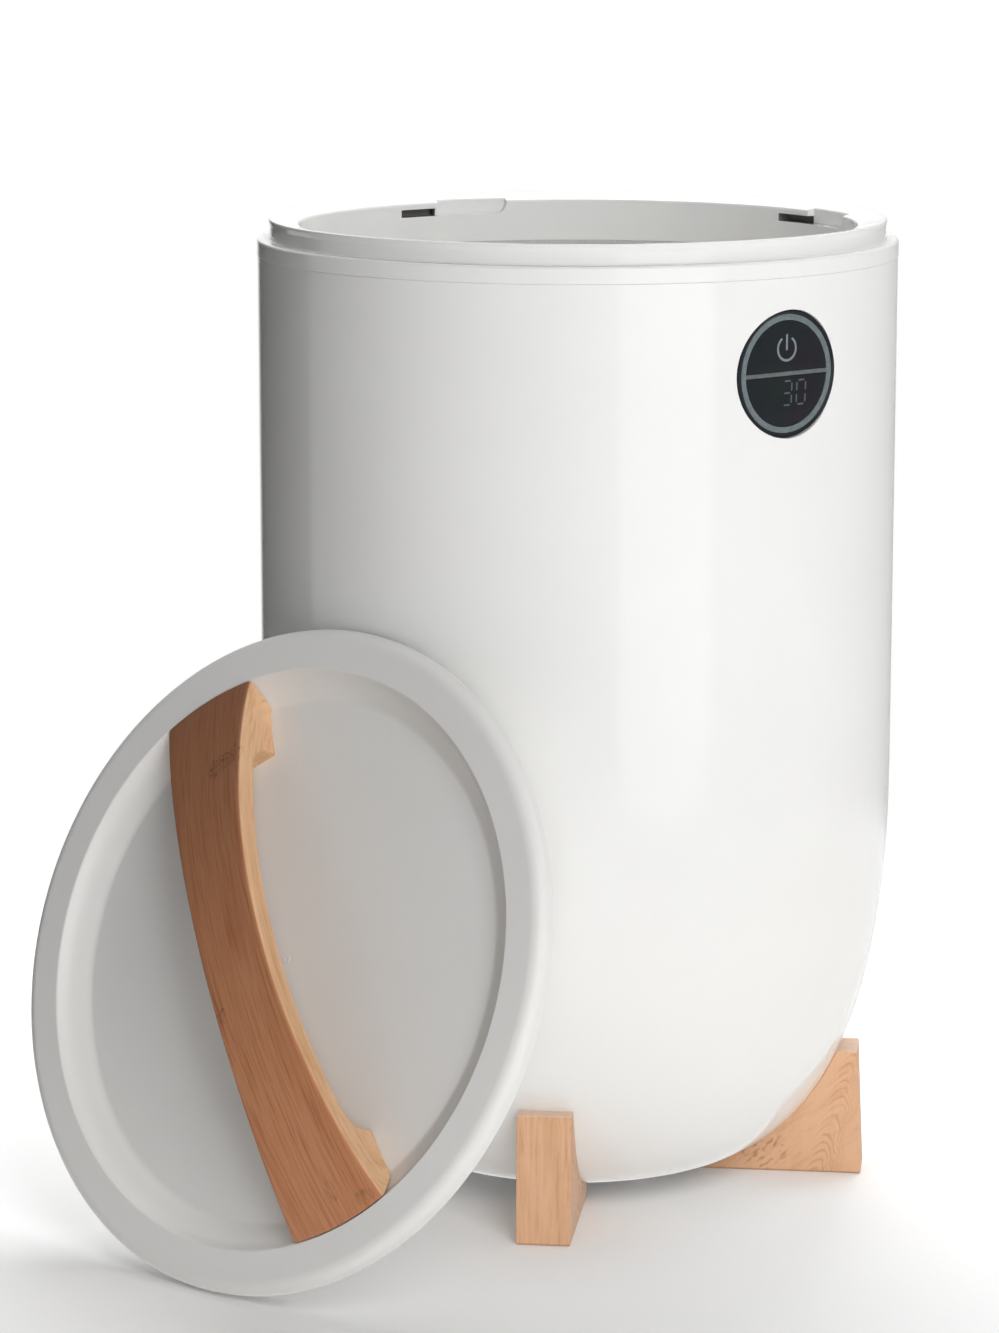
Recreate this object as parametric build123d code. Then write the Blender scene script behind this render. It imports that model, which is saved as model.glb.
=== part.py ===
from build123d import *
import math
import os

os.makedirs("parts", exist_ok=True)

# Bucket-style towel warmer, lid off and leaning against the wall of the bucket.
# Millimetres, +Z up. Origin on the floor under the axis of the bucket, panel facing -Y.

# ---------------------------------------------------------------- driving dimensions
R_BODY = 160.0          # straight wall of the bucket
WALL = 2.8              # moulded wall thickness
Z_SEAM = 469.8          # top edge of the outer shell
R_SHOULDER = 160.2     # shoulder of the rim collar
Z_SHOULDER = 478.3
R_NECK = 153.7          # neck that the lid sits on
Z_RIM = 488.3
R_BORE = 139.5          # inner wall of the bucket
LINER_T = 1.2
Z_LINER_FLOOR = 80.0    # top of the liner's floor
R_LINER_CORNER = 30.0
Z_LEDGE = 460.8         # inner ledge of the shell, carries liner and collar

SLOT_AZ = 87.35         # middle of a locked lug, then every 90 degrees
SLOT_HALF = 4.85        # half angle of the slot under the rim
ENTRY_SPAN = 16.0       # entry pocket, clockwise of the slot
Z_SLOT0, Z_SLOT1 = 478.3, 482.3
R_POCKET = 143.5

Z_PANEL = 424.2         # middle of the round control panel
R_PANEL = 30.5
KEY_TRAVEL = 0.8

FOOT_H = 64.5
FOOT_W = 26.6
FOOT_R_TOP = 146.3      # outer face at the top and at the floor
FOOT_R_BOT = 149.1
FOOT_R_IN = 66.0

R_LID = 160.0
LID_H = 10.0            # side of the lid, rim plane to the edge that sits on the neck
R_DISH = 139.6          # edge of the sunk dish
R_DISH_FLOOR = 127.9
DISH = 11.0             # depth of the dish
R_PLUG = 138.5
PLUG_Z = -21.0
LUG_R = 143.0

HANDLE_TOP = 31.4       # crown of the arch above the rim plane
HANDLE_END = 1.4        # height of its ends
HANDLE_HALF = 137.6
HANDLE_W_MID = 19.0     # half widths
HANDLE_W_END = 27.8
HANDLE_T = 11.6

# pose of the leaning lid
LID_AZ = 191.2         # the way the lid faces, seen from above
LID_TILT = 20.8         # and how far it looks up
LID_OUT = 229.1         # from the axis of the bucket to the middle of the rim plane
LID_SIDE = 3.2
LID_SPIN = 125.1       # direction of the handle in the plane of the lid


# ---------------------------------------------------------------- helpers
def save(shape, name):
    export_step(shape, "parts/" + name + ".step")


def rev(points):
    """Closed (r, z) polygon turned about the Z axis."""
    pts = [(r, 0, z) for r, z in points]
    face = make_face(Polyline(*pts, close=True))
    return revolve(face, Axis.Z, 360)


def ring(r0, r1, z0, z1):
    if r0 <= 0:
        return Pos(0, 0, (z0 + z1) / 2) * Cylinder(r1, z1 - z0)
    return Pos(0, 0, (z0 + z1) / 2) * (Cylinder(r1, z1 - z0) - Cylinder(r0, z1 - z0 + 2))


def sector(r0, r1, z0, z1, az, half):
    """Ring sector about Z, middle at az, half angle half."""
    a0, a1 = math.radians(az - half), math.radians(az + half)
    am = math.radians(az)
    p = lambda r, a: (r * math.cos(a), r * math.sin(a), z0)
    wire = [
        ThreePointArc(p(r1, a0), p(r1, am), p(r1, a1)),
        Line(p(r1, a1), p(r0, a1)),
        ThreePointArc(p(r0, a1), p(r0, am), p(r0, a0)),
        Line(p(r0, a0), p(r1, a0)),
    ]
    return extrude(make_face(wire), amount=z1 - z0, dir=(0, 0, 1))


def polar(r, deg, z=0.0):
    a = math.radians(deg)
    return (r * math.cos(a), r * math.sin(a), z)


def box(x0, x1, y0, y1, z0, z1):
    return Pos((x0 + x1) / 2, (y0 + y1) / 2, (z0 + z1) / 2) * Box(x1 - x0, y1 - y0, z1 - z0)


def cyl_y(x, z, r, y0, y1):
    return Pos(x, (y0 + y1) / 2, z) * Rot(90, 0, 0) * Cylinder(r, y1 - y0)


def cyl_z(x, y, r, z0, z1):
    return Pos(x, y, (z0 + z1) / 2) * Cylinder(r, z1 - z0)


def group(solids):
    return Compound(children=list(solids))


def tube(points, radius, dia):
    """Wire along straight runs joined by arcs."""
    path = FilletPolyline(*points, radius=radius)
    start = path @ 0
    prof = Plane(origin=start, z_dir=path % 0) * Circle(dia / 2)
    return sweep(prof, path=path)


# ---------------------------------------------------------------- belly profile
BELLY = [(57.0, 9.0), (67.7, 9.2), (82.3, 11.2), (94.8, 16.0), (105.2, 22.6), (114.7, 31.0),
         (123.2, 41.2), (130.8, 53.1), (137.6, 66.8), (143.5, 82.3), (148.5, 99.4), (152.6, 118.3),
         (155.8, 139.0), (158.2, 161.9), (159.5, 188.0), (160.0, 223.4)]


def belly_curve():
    return Spline(*[(r, 0, z) for r, z in BELLY], tangents=[(1, 0, 0), (0, 0, 1)])


def offset_points(d, n=22):
    c = belly_curve()
    pts = []
    for k in range(n + 1):
        t = k / n
        p, g = c @ t, c % t
        pts.append((p.X - g.Z * d, 0, p.Z + g.X * d))
    return pts


def belly_solid(d, z_top, r_open=0.0):
    """Solid inside the belly and wall, set in by d."""
    if d == 0:
        curve = belly_curve()
        pts0, pts1 = (BELLY[0][0], 0, BELLY[0][1]), (BELLY[-1][0], 0, BELLY[-1][1])
    else:
        pts = offset_points(d)
        curve = Spline(*pts, tangents=[(1, 0, 0), (0, 0, 1)])
        pts0, pts1 = pts[0], pts[-1]
    lines = [curve,
             Line(pts1, (pts1[0], 0, z_top)),
             Line((pts1[0], 0, z_top), (r_open, 0, z_top)),
             Line((r_open, 0, z_top), (r_open, 0, pts0[2])),
             Line((r_open, 0, pts0[2]), pts0)]
    return revolve(make_face(lines), Axis.Z, 360)


outer_solid = belly_solid(0, Z_SEAM)
inner_solid = belly_solid(WALL, Z_SEAM + 5)
inner_small = belly_solid(WALL + 0.4, Z_SEAM + 5)

# ---------------------------------------------------------------- outer shell
shell = outer_solid - inner_solid
shell -= ring(0, 50.0, 0, 30)                                   # service opening
ledge = ring(143.5, R_BODY - WALL + 0.5, Z_LEDGE - 3.0, Z_LEDGE)
shell += ledge
# round seat for the control panel
seat = cyl_y(0, Z_PANEL, 33.5, -158.6, -149.5) & outer_solid
shell += seat
shell -= cyl_y(0, Z_PANEL, R_PANEL + 0.15, -175, -153.4)
shell -= cyl_y(0, Z_PANEL, 27.5, -175, -145)
for a in (90, 210, 330):
    shell -= cyl_y(29.0 * math.cos(math.radians(a)), Z_PANEL + 29.0 * math.sin(math.radians(a)), 1.05, -154, -145)
# boss for the mains inlet at the back of the belly
shell += box(-17, 17, 112, 138, 37, 66)
shell -= box(-14.5, 14.5, 100, 135.5, 39.5, 63.5)
shell -= box(-12.2, 12.2, 130, 140, 42.5, 60.5)
# holes for the screws of collar, base cover and feet
RIM_SCREW_AZ = [45, 135, 225, 315]
for a in RIM_SCREW_AZ:
    x, y, _ = polar(149.6, a)
    shell -= cyl_z(x, y, 1.7, Z_LEDGE - 6.5, Z_LEDGE + 3.5)
COVER_AZ = [0, 90, 180, 270]
for a in COVER_AZ:
    x, y, _ = polar(53.3, a)
    shell += cyl_z(x, y, 3.2, 9.6, 20.0)
    shell -= cyl_z(x, y, 1.6, 5, 18.5)

# foot screws stand square on the belly
curve0 = belly_curve()


def belly_at_radius(r):
    lo, hi = 0.0, 1.0
    for _ in range(50):
        m = (lo + hi) / 2
        if (curve0 @ m).X < r:
            lo = m
        else:
            hi = m
    p, g = curve0 @ lo, curve0 % lo
    return p.X, p.Z, g.Z, -g.X      # point and outward normal (r, z)


FOOT_AZ = {"front_left": 225, "front_right": 315, "rear_right": 45, "rear_left": 135}
foot_screw_spots = []
for name, az in FOOT_AZ.items():
    for r, length in ((121.0, 15.0), (110.5, 12.0)):
        pr, pz, nr, nz = belly_at_radius(r)
        foot_screw_spots.append((az, pr, pz, nr, nz, length))


def foot_rod(spot, radius, d0, d1):
    """Cylinder along the belly's normal, from depth d0 to d1 outward of its outer face."""
    az, pr, pz, nr, nz, _ = spot
    a = math.radians(az)
    o = Vector(pr * math.cos(a), pr * math.sin(a), pz)
    nrm = Vector(nr * math.cos(a), nr * math.sin(a), nz)
    pl = Plane(origin=o + nrm * ((d0 + d1) / 2), z_dir=nrm)
    return pl * Cylinder(radius, d1 - d0)


for s in foot_screw_spots:
    shell -= foot_rod(s, 1.9, -8, 2)
save(shell, "outer_shell")

# ---------------------------------------------------------------- bamboo feet
belly_clear = belly_solid(-0.12, 80)
for name, az in FOOT_AZ.items():
    side = Polyline((FOOT_R_IN, 0, 0), (FOOT_R_BOT, 0, 0), (FOOT_R_TOP, 0, FOOT_H),
                    (FOOT_R_TOP - 12.0, 0, FOOT_H), (FOOT_R_IN, 0, 14.0), close=True)
    f = Pos(0, -FOOT_W / 2, 0) * extrude(make_face(side), amount=FOOT_W, dir=(0, 1, 0))
    f = Rot(0, 0, az) * f
    f -= belly_clear
    for s in foot_screw_spots:
        if s[0] == az:
            f -= foot_rod(s, 1.75, -1, s[5] + 0.6)
    parts_of_f = sorted(f.solids(), key=lambda q: q.volume)
    save(parts_of_f[-1], "foot_" + name)

screws = []
for s in foot_screw_spots:
    shank = foot_rod(s, 1.6, -WALL - 0.5, s[5])
    head = foot_rod(s, 3.4, -WALL - 2.6, -WALL - 0.35)
    screws.append((shank + head).solids()[0])
save(group(screws), "foot_screws")

# ---------------------------------------------------------------- rim collar
c_pts = [(154.2, Z_RIM - 25.0), (156.9, Z_RIM - 25.0), (156.9, Z_SEAM + 0.4), (159.4, Z_SEAM + 0.4),
         (R_SHOULDER, Z_SEAM + 1.2), (R_SHOULDER, Z_SHOULDER - 1.6), (R_SHOULDER - 0.5, Z_SHOULDER - 0.5),
         (R_SHOULDER - 1.7, Z_SHOULDER), (R_NECK + 0.4, Z_SHOULDER + 0.3), (R_NECK, Z_SHOULDER + 0.7),
         (R_NECK, Z_RIM - 3.4), (R_NECK + 0.45, Z_RIM - 1.6), (R_NECK + 0.25, Z_RIM - 0.6), (R_NECK - 0.6, Z_RIM),
         (152.2, Z_RIM), (151.2, Z_RIM - 0.3), (141.0, Z_RIM - 2.7), (140.0, Z_RIM - 3.1), (R_BORE, Z_RIM - 3.9),
         (R_BORE, Z_RIM - 24.3), (142.3, Z_RIM - 24.3), (142.3, Z_RIM - 12.0), (146.0, Z_RIM - 12.0),
         (146.0, Z_RIM - 4.2), (151.8, Z_RIM - 4.2), (151.8, Z_RIM - 12.6), (154.2, Z_RIM - 12.6)]
collar = rev(c_pts)
for a in RIM_SCREW_AZ:
    x, y, _ = polar(149.6, a)
    collar += cyl_z(x, y, 3.0, Z_LEDGE + 0.1, Z_RIM - 3.8)
    collar -= cyl_z(x, y, 1.6, Z_LEDGE - 2, Z_RIM - 14.0)
for k in range(4):
    az = SLOT_AZ + 90 * k
    # dark slot that the lug turns into
    collar -= sector(R_BORE - 2, 147.0, Z_SLOT0, Z_SLOT1, az, SLOT_HALF)
    # entry pocket, open upward, on the clockwise side
    mid = az - SLOT_HALF - ENTRY_SPAN / 2
    collar -= sector(R_BORE - 3, R_POCKET, Z_SLOT0, Z_RIM + 5, mid + 0.01, ENTRY_SPAN / 2)
save(collar, "rim_collar")

screws = []
for a in RIM_SCREW_AZ:
    x, y, _ = polar(149.6, a)
    screws.append((cyl_z(x, y, 1.45, Z_LEDGE - 3.0, Z_RIM - 15.0) + cyl_z(x, y, 2.9, Z_LEDGE - 5.2, Z_LEDGE - 3.05)).solids()[0])
save(group(screws), "rim_screws")

# ---------------------------------------------------------------- liner and what surrounds it
zf, rc = Z_LINER_FLOOR, R_LINER_CORNER
ri, ro = R_BORE, R_BORE + LINER_T
s45 = math.sqrt(0.5)
liner_lines = [
    Line((0, 0, zf), (ri - rc, 0, zf)),
    ThreePointArc((ri - rc, 0, zf), (ri - rc + rc * s45, 0, zf + rc - rc * s45), (ri, 0, zf + rc)),
    Line((ri, 0, zf + rc), (ri, 0, Z_LEDGE + 0.1 + LINER_T)),
    Line((ri, 0, Z_LEDGE + 0.1 + LINER_T), (145.9, 0, Z_LEDGE + 0.1 + LINER_T)),
    Line((145.9, 0, Z_LEDGE + 0.1 + LINER_T), (145.9, 0, Z_LEDGE + 0.1)),
    Line((145.9, 0, Z_LEDGE + 0.1), (ro, 0, Z_LEDGE + 0.1)),
    Line((ro, 0, Z_LEDGE + 0.1), (ro, 0, zf + rc)),
    ThreePointArc((ro, 0, zf + rc), (ri - rc + (rc + LINER_T) * s45, 0, zf + rc - (rc + LINER_T) * s45),
                  (ri - rc, 0, zf - LINER_T)),
    Line((ri - rc, 0, zf - LINER_T), (0, 0, zf - LINER_T)),
    Line((0, 0, zf - LINER_T), (0, 0, zf)),
]
liner = revolve(make_face(liner_lines), Axis.Z, 360)
save(liner, "inner_liner")

save(ring(R_BORE + 0.3, 142.2, Z_LEDGE + 0.1 + LINER_T + 0.05, Z_RIM - 24.35), "liner_gasket")

heater = ring(141.0, 141.8, 125, 380)
save(heater, "heater_band")
save(ring(18, 82, 77.8, 78.7), "floor_heater")

sleeve = ring(143.2, 152.8, 182, 452)
sleeve -= box(-37, 37, -160, -100, 375.7, 465)
save(sleeve, "insulation_sleeve")

support = ring(91.5, 95.0, 10, 78.7) + ring(86, 104, 76.2, 78.7) + ring(86, 99, 10, 22.5)
support = support & inner_small
support -= box(-14, 14, 80, 110, 44, 62)            # mains leads
support -= box(78, 108, -32, -12, 55, 70)           # heater leads
support -= box(-9, 9, -110, -80, 25.5, 40)            # ribbon cable
save(sorted(support.solids(), key=lambda q: q.volume)[-1], "liner_support")

thermo = cyl_z(40, 0, 10, 68.8, 77.7) + cyl_z(40, 0, 6, 65.0, 69.0)
thermo += box(36.5, 37.3, -3, 3, 60.0, 65.2) + box(42.7, 43.5, -3, 3, 60.0, 65.2)
save(thermo, "thermostat")
fuse = Pos(-42, 0, 75.2) * Rot(90, 0, 0) * Cylinder(2.4, 16)
fuse += Pos(-42, 0, 75.2) * Rot(90, 0, 0) * Cylinder(0.6, 34)
save(fuse, "thermal_fuse")

# ---------------------------------------------------------------- base cover and power electronics
cover = ring(0, 56.0, 7.0, 8.95)
cover += ring(47.0, 49.6, 8.5, 12.5)
STAND = [(30, 20), (-30, 20), (-30, -20), (30, -20)]
for x, y in STAND:
    cover += cyl_z(x, y, 3.4, 8.0, 24.0)
    cover -= cyl_z(x, y, 1.3, 12.0, 26.0)
for a in COVER_AZ:
    x, y, _ = polar(53.3, a)
    cover -= cyl_z(x, y, 1.8, 5, 12)
    cover -= cyl_z(x, y, 3.3, 9.2, 14)
for k in range(-3, 4):
    cover -= box(-14, 14, k * 4.0 - 0.9, k * 4.0 + 0.9, 5, 10)
save(cover.solids()[0], "base_cover")
screws = []
for a in COVER_AZ:
    x, y, _ = polar(53.3, a)
    screws.append((cyl_z(x, y, 1.45, 6.9, 17.5) + cyl_z(x, y, 2.9, 5.0, 6.95)).solids()[0])
save(group(screws), "base_cover_screws")

pcb = box(-36, 36, -26, 26, 24.05, 25.65)
for x, y in STAND:
    pcb -= cyl_z(x, y, 1.6, 20, 30)
save(pcb, "power_board")
screws = []
for x, y in STAND:
    screws.append((cyl_z(x, y, 1.15, 14.0, 25.8) + cyl_z(x, y, 2.6, 25.7, 27.6)).solids()[0])
save(group(screws), "power_board_screws")
save(box(-24, -5, -2, 14, 25.7, 41.0), "power_relay")
term = box(-13, 17, -23.5, -13.5, 25.7, 36.5)
for x in (-8.5, -1.5, 5.5, 12.5):
    term -= cyl_z(x, -16.5, 1.8, 34.8, 40)
save(term, "terminal_block")
buzz = cyl_z(22, 8, 6.0, 25.7, 32.5) - cyl_z(22, 8, 1.0, 31.0, 34)
save(buzz, "buzzer")

# mains inlet, two-pin appliance socket
inlet = box(-15.6, 15.6, 138.05, 139.8, 40.9, 62.1)
inlet += box(-12.0, 12.0, 119.0, 138.5, 42.7, 60.3)
inlet -= cyl_y(-4.3, 51.5, 4.4, 126.5, 150)
inlet -= cyl_y(4.3, 51.5, 4.4, 126.5, 150)
inlet -= box(-4.3, 4.3, 126.5, 150, 51.5 - 3.5, 51.5 + 3.5)
for x in (-4.3, 4.3):
    inlet -= cyl_y(x, 51.5, 1.25, 110, 130)
save(inlet, "mains_inlet")
pins = []
for x in (-4.3, 4.3):
    pins.append(cyl_y(x, 51.5, 1.2, 116.0, 136.5))
save(group(pins), "inlet_pins")

# leads
ml = []
for x, xe in ((-4.3, -8.5), (4.3, -1.5)):
    ml.append(tube([(x, 115.9, 51.5), (x, 70, 51.5), (xe, 20, 51.5), (xe, -16.5, 51.5), (xe, -16.5, 34.9)], 8, 2.4).solids()[0])
save(group(ml), "mains_leads")
hl = []
for y, xe in ((-20.0, 5.5), (-25.0, 12.5)):
    r_end = 142.02
    xe2 = math.sqrt(r_end ** 2 - y ** 2)
    hl.append(tube([(xe, -16.5, 34.9), (xe, -16.5, 50.0), (xe + 8, y, 62.0), (95, y, 62.0), (127.0, y, 72.0),
                    (xe2, y, 99.0), (xe2, y, 124.9)], 6, 2.0).solids()[0])
save(group(hl), "heater_leads")

# ribbon from the panel down the wall to the power board
rib = [(-146.7, 393.5), (-148.0, 388.5), (-154.9, 378.5), (-154.9, 222.0), (-153.4, 175.0), (-149.4, 140.0), (-143.4, 108.0), (-134.6, 79.0),
       (-125.0, 58.5), (-112.0, 41.0), (-99.0, 32.6), (-60.0, 30.5), (-34.6, 30.5), (-34.6, 25.9)]


def strip(points, t):
    """Planar strip of thickness t along a polyline, in (y, z)."""
    left, right = [], []
    n = len(points)
    for i, (y, z) in enumerate(points):
        d = []
        for j in (i - 1, i):
            if 0 <= j < n - 1:
                ay, az = points[j]
                by, bz = points[j + 1]
                m = math.hypot(by - ay, bz - az)
                d.append(((by - ay) / m, (bz - az) / m))
        ty = sum(q[0] for q in d) / len(d)
        tz = sum(q[1] for q in d) / len(d)
        m = math.hypot(ty, tz)
        ty, tz = ty / m, tz / m
        k = 1.0
        if len(d) == 2:
            k = 1.0 / max(0.5, ty * d[0][0] + tz * d[0][1])
        left.append((0, y - tz * t / 2 * k, z + ty * t / 2 * k))
        right.append((0, y + tz * t / 2 * k, z - ty * t / 2 * k))
    return make_face(Polyline(*(left + right[::-1]), close=True))


ribbon = Pos(-5, 0, 0) * extrude(strip(rib, 0.9), amount=10, dir=(1, 0, 0))
save(ribbon.solids()[0], "panel_cable")

# ---------------------------------------------------------------- control panel
zc = Z_PANEL
panel_housing = cyl_y(0, zc, 30.4, -155.0, -153.5) + cyl_y(0, zc, 27.2, -154.0, -143.2)
panel_housing -= cyl_y(0, zc, 25.6, -153.5, -144.8)
panel_housing -= cyl_y(0, zc, 24.0, -157, -153.0)
for a in (90, 210, 330):
    x, z = 29.0 * math.cos(math.radians(a)), zc + 29.0 * math.sin(math.radians(a))
    panel_housing -= cyl_y(x, z, 0.85, -154.6, -152)
POSTS = [(19.0, 30), (19.0, 150), (19.0, 270)]
for r, a in POSTS:
    x, z = r * math.cos(math.radians(a)), zc + r * math.sin(math.radians(a))
    panel_housing += cyl_y(x, z, 2.4, -147.65, -144.2)
    panel_housing -= cyl_y(x, z, 0.9, -148.7, -144.7)
panel_housing -= box(-6, 6, -147.2, -140.7, zc - 29, zc - 24)       # way out for the ribbon
save(panel_housing.solids()[0], "panel_housing")

screws = []
for a in (90, 210, 330):
    x, z = 29.0 * math.cos(math.radians(a)), zc + 29.0 * math.sin(math.radians(a))
    screws.append((cyl_y(x, z, 0.8, -154.4, -149.4) + cyl_y(x, z, 1.8, -149.45, -148.2)).solids()[0])
save(group(screws), "panel_screws")

# the flat disc sits a little back in the round wall, flush with it at its left and right
bezel = rev([(28.55, -2.9), (R_PANEL, -2.9), (R_PANEL, -0.4), (R_PANEL - 0.4, 0.0), (28.9, 0.0), (28.55, -0.35)])
bezel = Pos(0, -158.0, zc) * Rot(90, 0, 0) * bezel
save(bezel, "panel_bezel")

trim = cyl_y(0, zc, 28.4, -157.7, -155.05) - cyl_y(0, zc, 25.5, -159, -154)
trim += box(-25.6, 25.6, -157.7, -155.05, zc - 1.0, zc + 1.0)
save(trim.solids()[0], "trim_ring")

half_up = box(-40, 40, -170, -140, zc + 1.15, zc + 40)
half_dn = box(-40, 40, -170, -140, zc - 40, zc - 1.15)
key = cyl_y(0, zc, 25.3, -157.6, -155.95) & half_up
skirt = (cyl_y(0, zc, 23.85, -156.2, -153.6) - cyl_y(0, zc, 22.4, -162, -150)) & box(-40, 40, -170, -140, zc + 2.2, zc + 40)
key += skirt
key += cyl_y(0, zc + 12, 2.0, -156.2, -153.7)
save(key.solids()[0], "power_key")

window = cyl_y(0, zc, 25.3, -157.6, -155.05) & half_dn
save(window.solids()[0], "display_window")
save(box(4.9 - 11.0, 4.9 + 11.0, -154.95, -149.4, zc - 9.3 - 7.6, zc - 9.3 + 7.6), "display_module")

board = cyl_y(0, zc, 25.3, -149.3, -147.7)
board -= box(-7, 7, -151, -146.8, zc - 30, zc - 24.2)
for r, a in POSTS:
    x, z = r * math.cos(math.radians(a)), zc + r * math.sin(math.radians(a))
    board -= cyl_y(x, z, 1.3, -151, -147)
save(board.solids()[0], "control_board")
screws = []
for r, a in POSTS:
    x, z = r * math.cos(math.radians(a)), zc + r * math.sin(math.radians(a))
    screws.append((cyl_y(x, z, 0.8, -149.4, -145.1) + cyl_y(x, z, 1.9, -150.7, -149.35)).solids()[0])
save(group(screws), "control_board_screws")

tact = box(-3.1, 3.1, -152.7, -149.35, zc + 12 - 3.1, zc + 12 + 3.1) - cyl_y(0, zc + 12, 1.75, -154, -150.2)
save(tact, "tact_switch")
save(cyl_y(0, zc + 12, 1.7, -153.65, -151.2), "tact_plunger")

# ---------------------------------------------------------------- lid, in its own frame (axis Z, rim plane z = 0)
lid_u = Vector(-math.sin(math.radians(LID_AZ)), math.cos(math.radians(LID_AZ)), 0)
ct, st = math.cos(math.radians(LID_TILT)), math.sin(math.radians(LID_TILT))
lid_n = Vector(math.cos(math.radians(LID_AZ)) * ct, math.sin(math.radians(LID_AZ)) * ct, st)
lid_v = lid_n.cross(lid_u)
# the edge that stands on the floor is rounded by 1 mm
lid_z = (LID_H - 1.0) * st + (R_LID - 1.0) * ct + 1.0
lid_c = Vector(LID_OUT * math.cos(math.radians(LID_AZ)) + LID_SIDE * lid_u.X,
               LID_OUT * math.sin(math.radians(LID_AZ)) + LID_SIDE * lid_u.Y, lid_z)
sp = math.radians(LID_SPIN)
lid_x = lid_u * math.cos(sp) + lid_v * math.sin(sp)
LID = Plane(origin=lid_c, x_dir=lid_x, z_dir=lid_n)
print("lid centre", lid_c, "normal", lid_n, "handle", lid_x, "lateral", lid_n.cross(lid_x))

t = 2.2
lid_lines = [
    Line((0, 0, -DISH), (R_DISH_FLOOR - 3.0, 0, -DISH)),
    Spline((R_DISH_FLOOR - 3.0, 0, -DISH), (R_DISH_FLOOR + 1.6, 0, -DISH + 2.0), (R_DISH - 3.0, 0, -3.9), (R_DISH - 0.9, 0, -1.2),
           (R_DISH + 0.6, 0, 0), tangents=[(1, 0, 0), (1, 0, 0)]),
    Line((R_DISH + 0.6, 0, 0), (153.3, 0, 0)),
    Spline((153.3, 0, 0), (157.8, 0, -1.45), (R_LID, 0, -5.6), tangents=[(1, 0, 0), (0, 0, -1)]),
    Line((R_LID, 0, -5.6), (R_LID, 0, -LID_H + 1.0)),
    ThreePointArc((R_LID, 0, -LID_H + 1.0), (R_LID - 1 + s45, 0, -LID_H + 1 - s45), (R_LID - 1.0, 0, -LID_H)),
    Line((R_LID - 1.0, 0, -LID_H), (R_LID - t, 0, -LID_H)),
    Line((R_LID - t, 0, -LID_H), (R_LID - t, 0, -5.0)),
    Line((R_LID - t, 0, -5.0), (153.0, 0, -t)),
    Line((153.0, 0, -t), (R_DISH + 2.0, 0, -t)),
    Line((R_DISH + 2.0, 0, -t), (R_DISH_FLOOR + 2.4, 0, -DISH - t)),
    Line((R_DISH_FLOOR + 2.4, 0, -DISH - t), (0, 0, -DISH - t)),
    Line((0, 0, -DISH - t), (0, 0, -DISH)),
]
lid_top = revolve(make_face(lid_lines), Axis.Z, 360)
LID_SCREW = [polar(112, a) for a in (60, 120, 240, 300)]
for x, y, _ in LID_SCREW:
    lid_top += cyl_z(x, y, 3.6, -19.15, -DISH - 1.0)
    lid_top -= cyl_z(x, y, 1.6, -20, -14.2)
HS = [(112, 11), (112, -11), (-112, 11), (-112, -11)]
for x, y in HS:
    lid_top -= cyl_z(x, y, 1.9, -20, -5)
save(LID * lid_top, "lid_top")

lid_inner = ring(0, R_PLUG - 1.0, PLUG_Z, -19.2) + rev([(136.3, PLUG_Z + 1.0), (R_PLUG - 1.0, PLUG_Z), (R_PLUG, PLUG_Z + 1.0),
                                                       (R_PLUG, -9.9), (136.3, -9.9)])
lid_inner += rev([(136.0, -20.9), (137.6, -20.9), (137.6, -19.3), (136.0, -19.3)])
lid_inner += ring(136.3, 156.5, -10.0, -8.4)
for k in range(4):
    lid_inner += sector(R_PLUG - 0.8, LUG_R, -19.8, -16.4, 90 * k, 4.4)
for x, y, _ in LID_SCREW:
    lid_inner -= cyl_z(x, y, 1.7, -25, -15)
save(LID * lid_inner.solids()[0], "lid_inner")

save(LID * ring(141.0, 146.5, -11.2, -10.05), "lid_seal")
save(LID * ring(0, 104.5, -19.1, -15.3), "lid_insulation")

screws = []
for x, y, _ in LID_SCREW:
    screws.append(LID * (cyl_z(x, y, 1.45, -21.1, -14.6) + cyl_z(x, y, 2.9, -22.9, -21.05)).solids()[0])
save(group(screws), "lid_screws")


# arched handle: plan shape and side shape intersected, ends cut to the wall of the dish
def arch(s):
    return HANDLE_END + (HANDLE_TOP - HANDLE_END) * (1 - abs(s / HANDLE_HALF) ** 2.05)


def half_w(s):
    return HANDLE_W_MID + (HANDLE_W_END - HANDLE_W_MID) * abs(s / HANDLE_HALF) ** 2.1


ss = [-140 + 20 * k for k in range(15)]
plan = [
    Spline(*[(s, half_w(s), -20) for s in ss]),
    Line((140, half_w(140), -20), (140, -half_w(140), -20)),
    Spline(*[(s, -half_w(s), -20) for s in ss[::-1]]),
    Line((-140, -half_w(140), -20), (-140, half_w(140), -20)),
]
plan_solid = extrude(make_face(plan), amount=80, dir=(0, 0, 1))
LEG = 101.8
su = [-88 + 88 / 7 * k for k in range(15)]
under = [(s, arch(s) - HANDLE_T) for s in su]
side = [
    Spline(*[(s, -40, arch(s)) for s in ss]),
    Line((140, -40, arch(140)), (140, -40, -DISH)),
    Line((140, -40, -DISH), (LEG, -40, -DISH)),
    Line((LEG, -40, -DISH), (LEG - 0.8, -40, -3.0)),
    ThreePointArc((LEG - 0.8, -40, -3.0), (LEG - 5.0, -40, 3.6), (88, -40, under[-1][1])),
    Spline(*[(s, -40, z) for s, z in under[::-1]]),
    ThreePointArc((-88, -40, under[0][1]), (-LEG + 5.0, -40, 3.6), (-LEG + 0.8, -40, -3.0)),
    Line((-LEG + 0.8, -40, -3.0), (-LEG, -40, -DISH)),
    Line((-LEG, -40, -DISH), (-140, -40, -DISH)),
    Line((-140, -40, -DISH), (-140, -40, arch(140))),
]
side_solid = extrude(make_face(side), amount=80, dir=(0, 1, 0))
handle = plan_solid & side_solid
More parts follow.
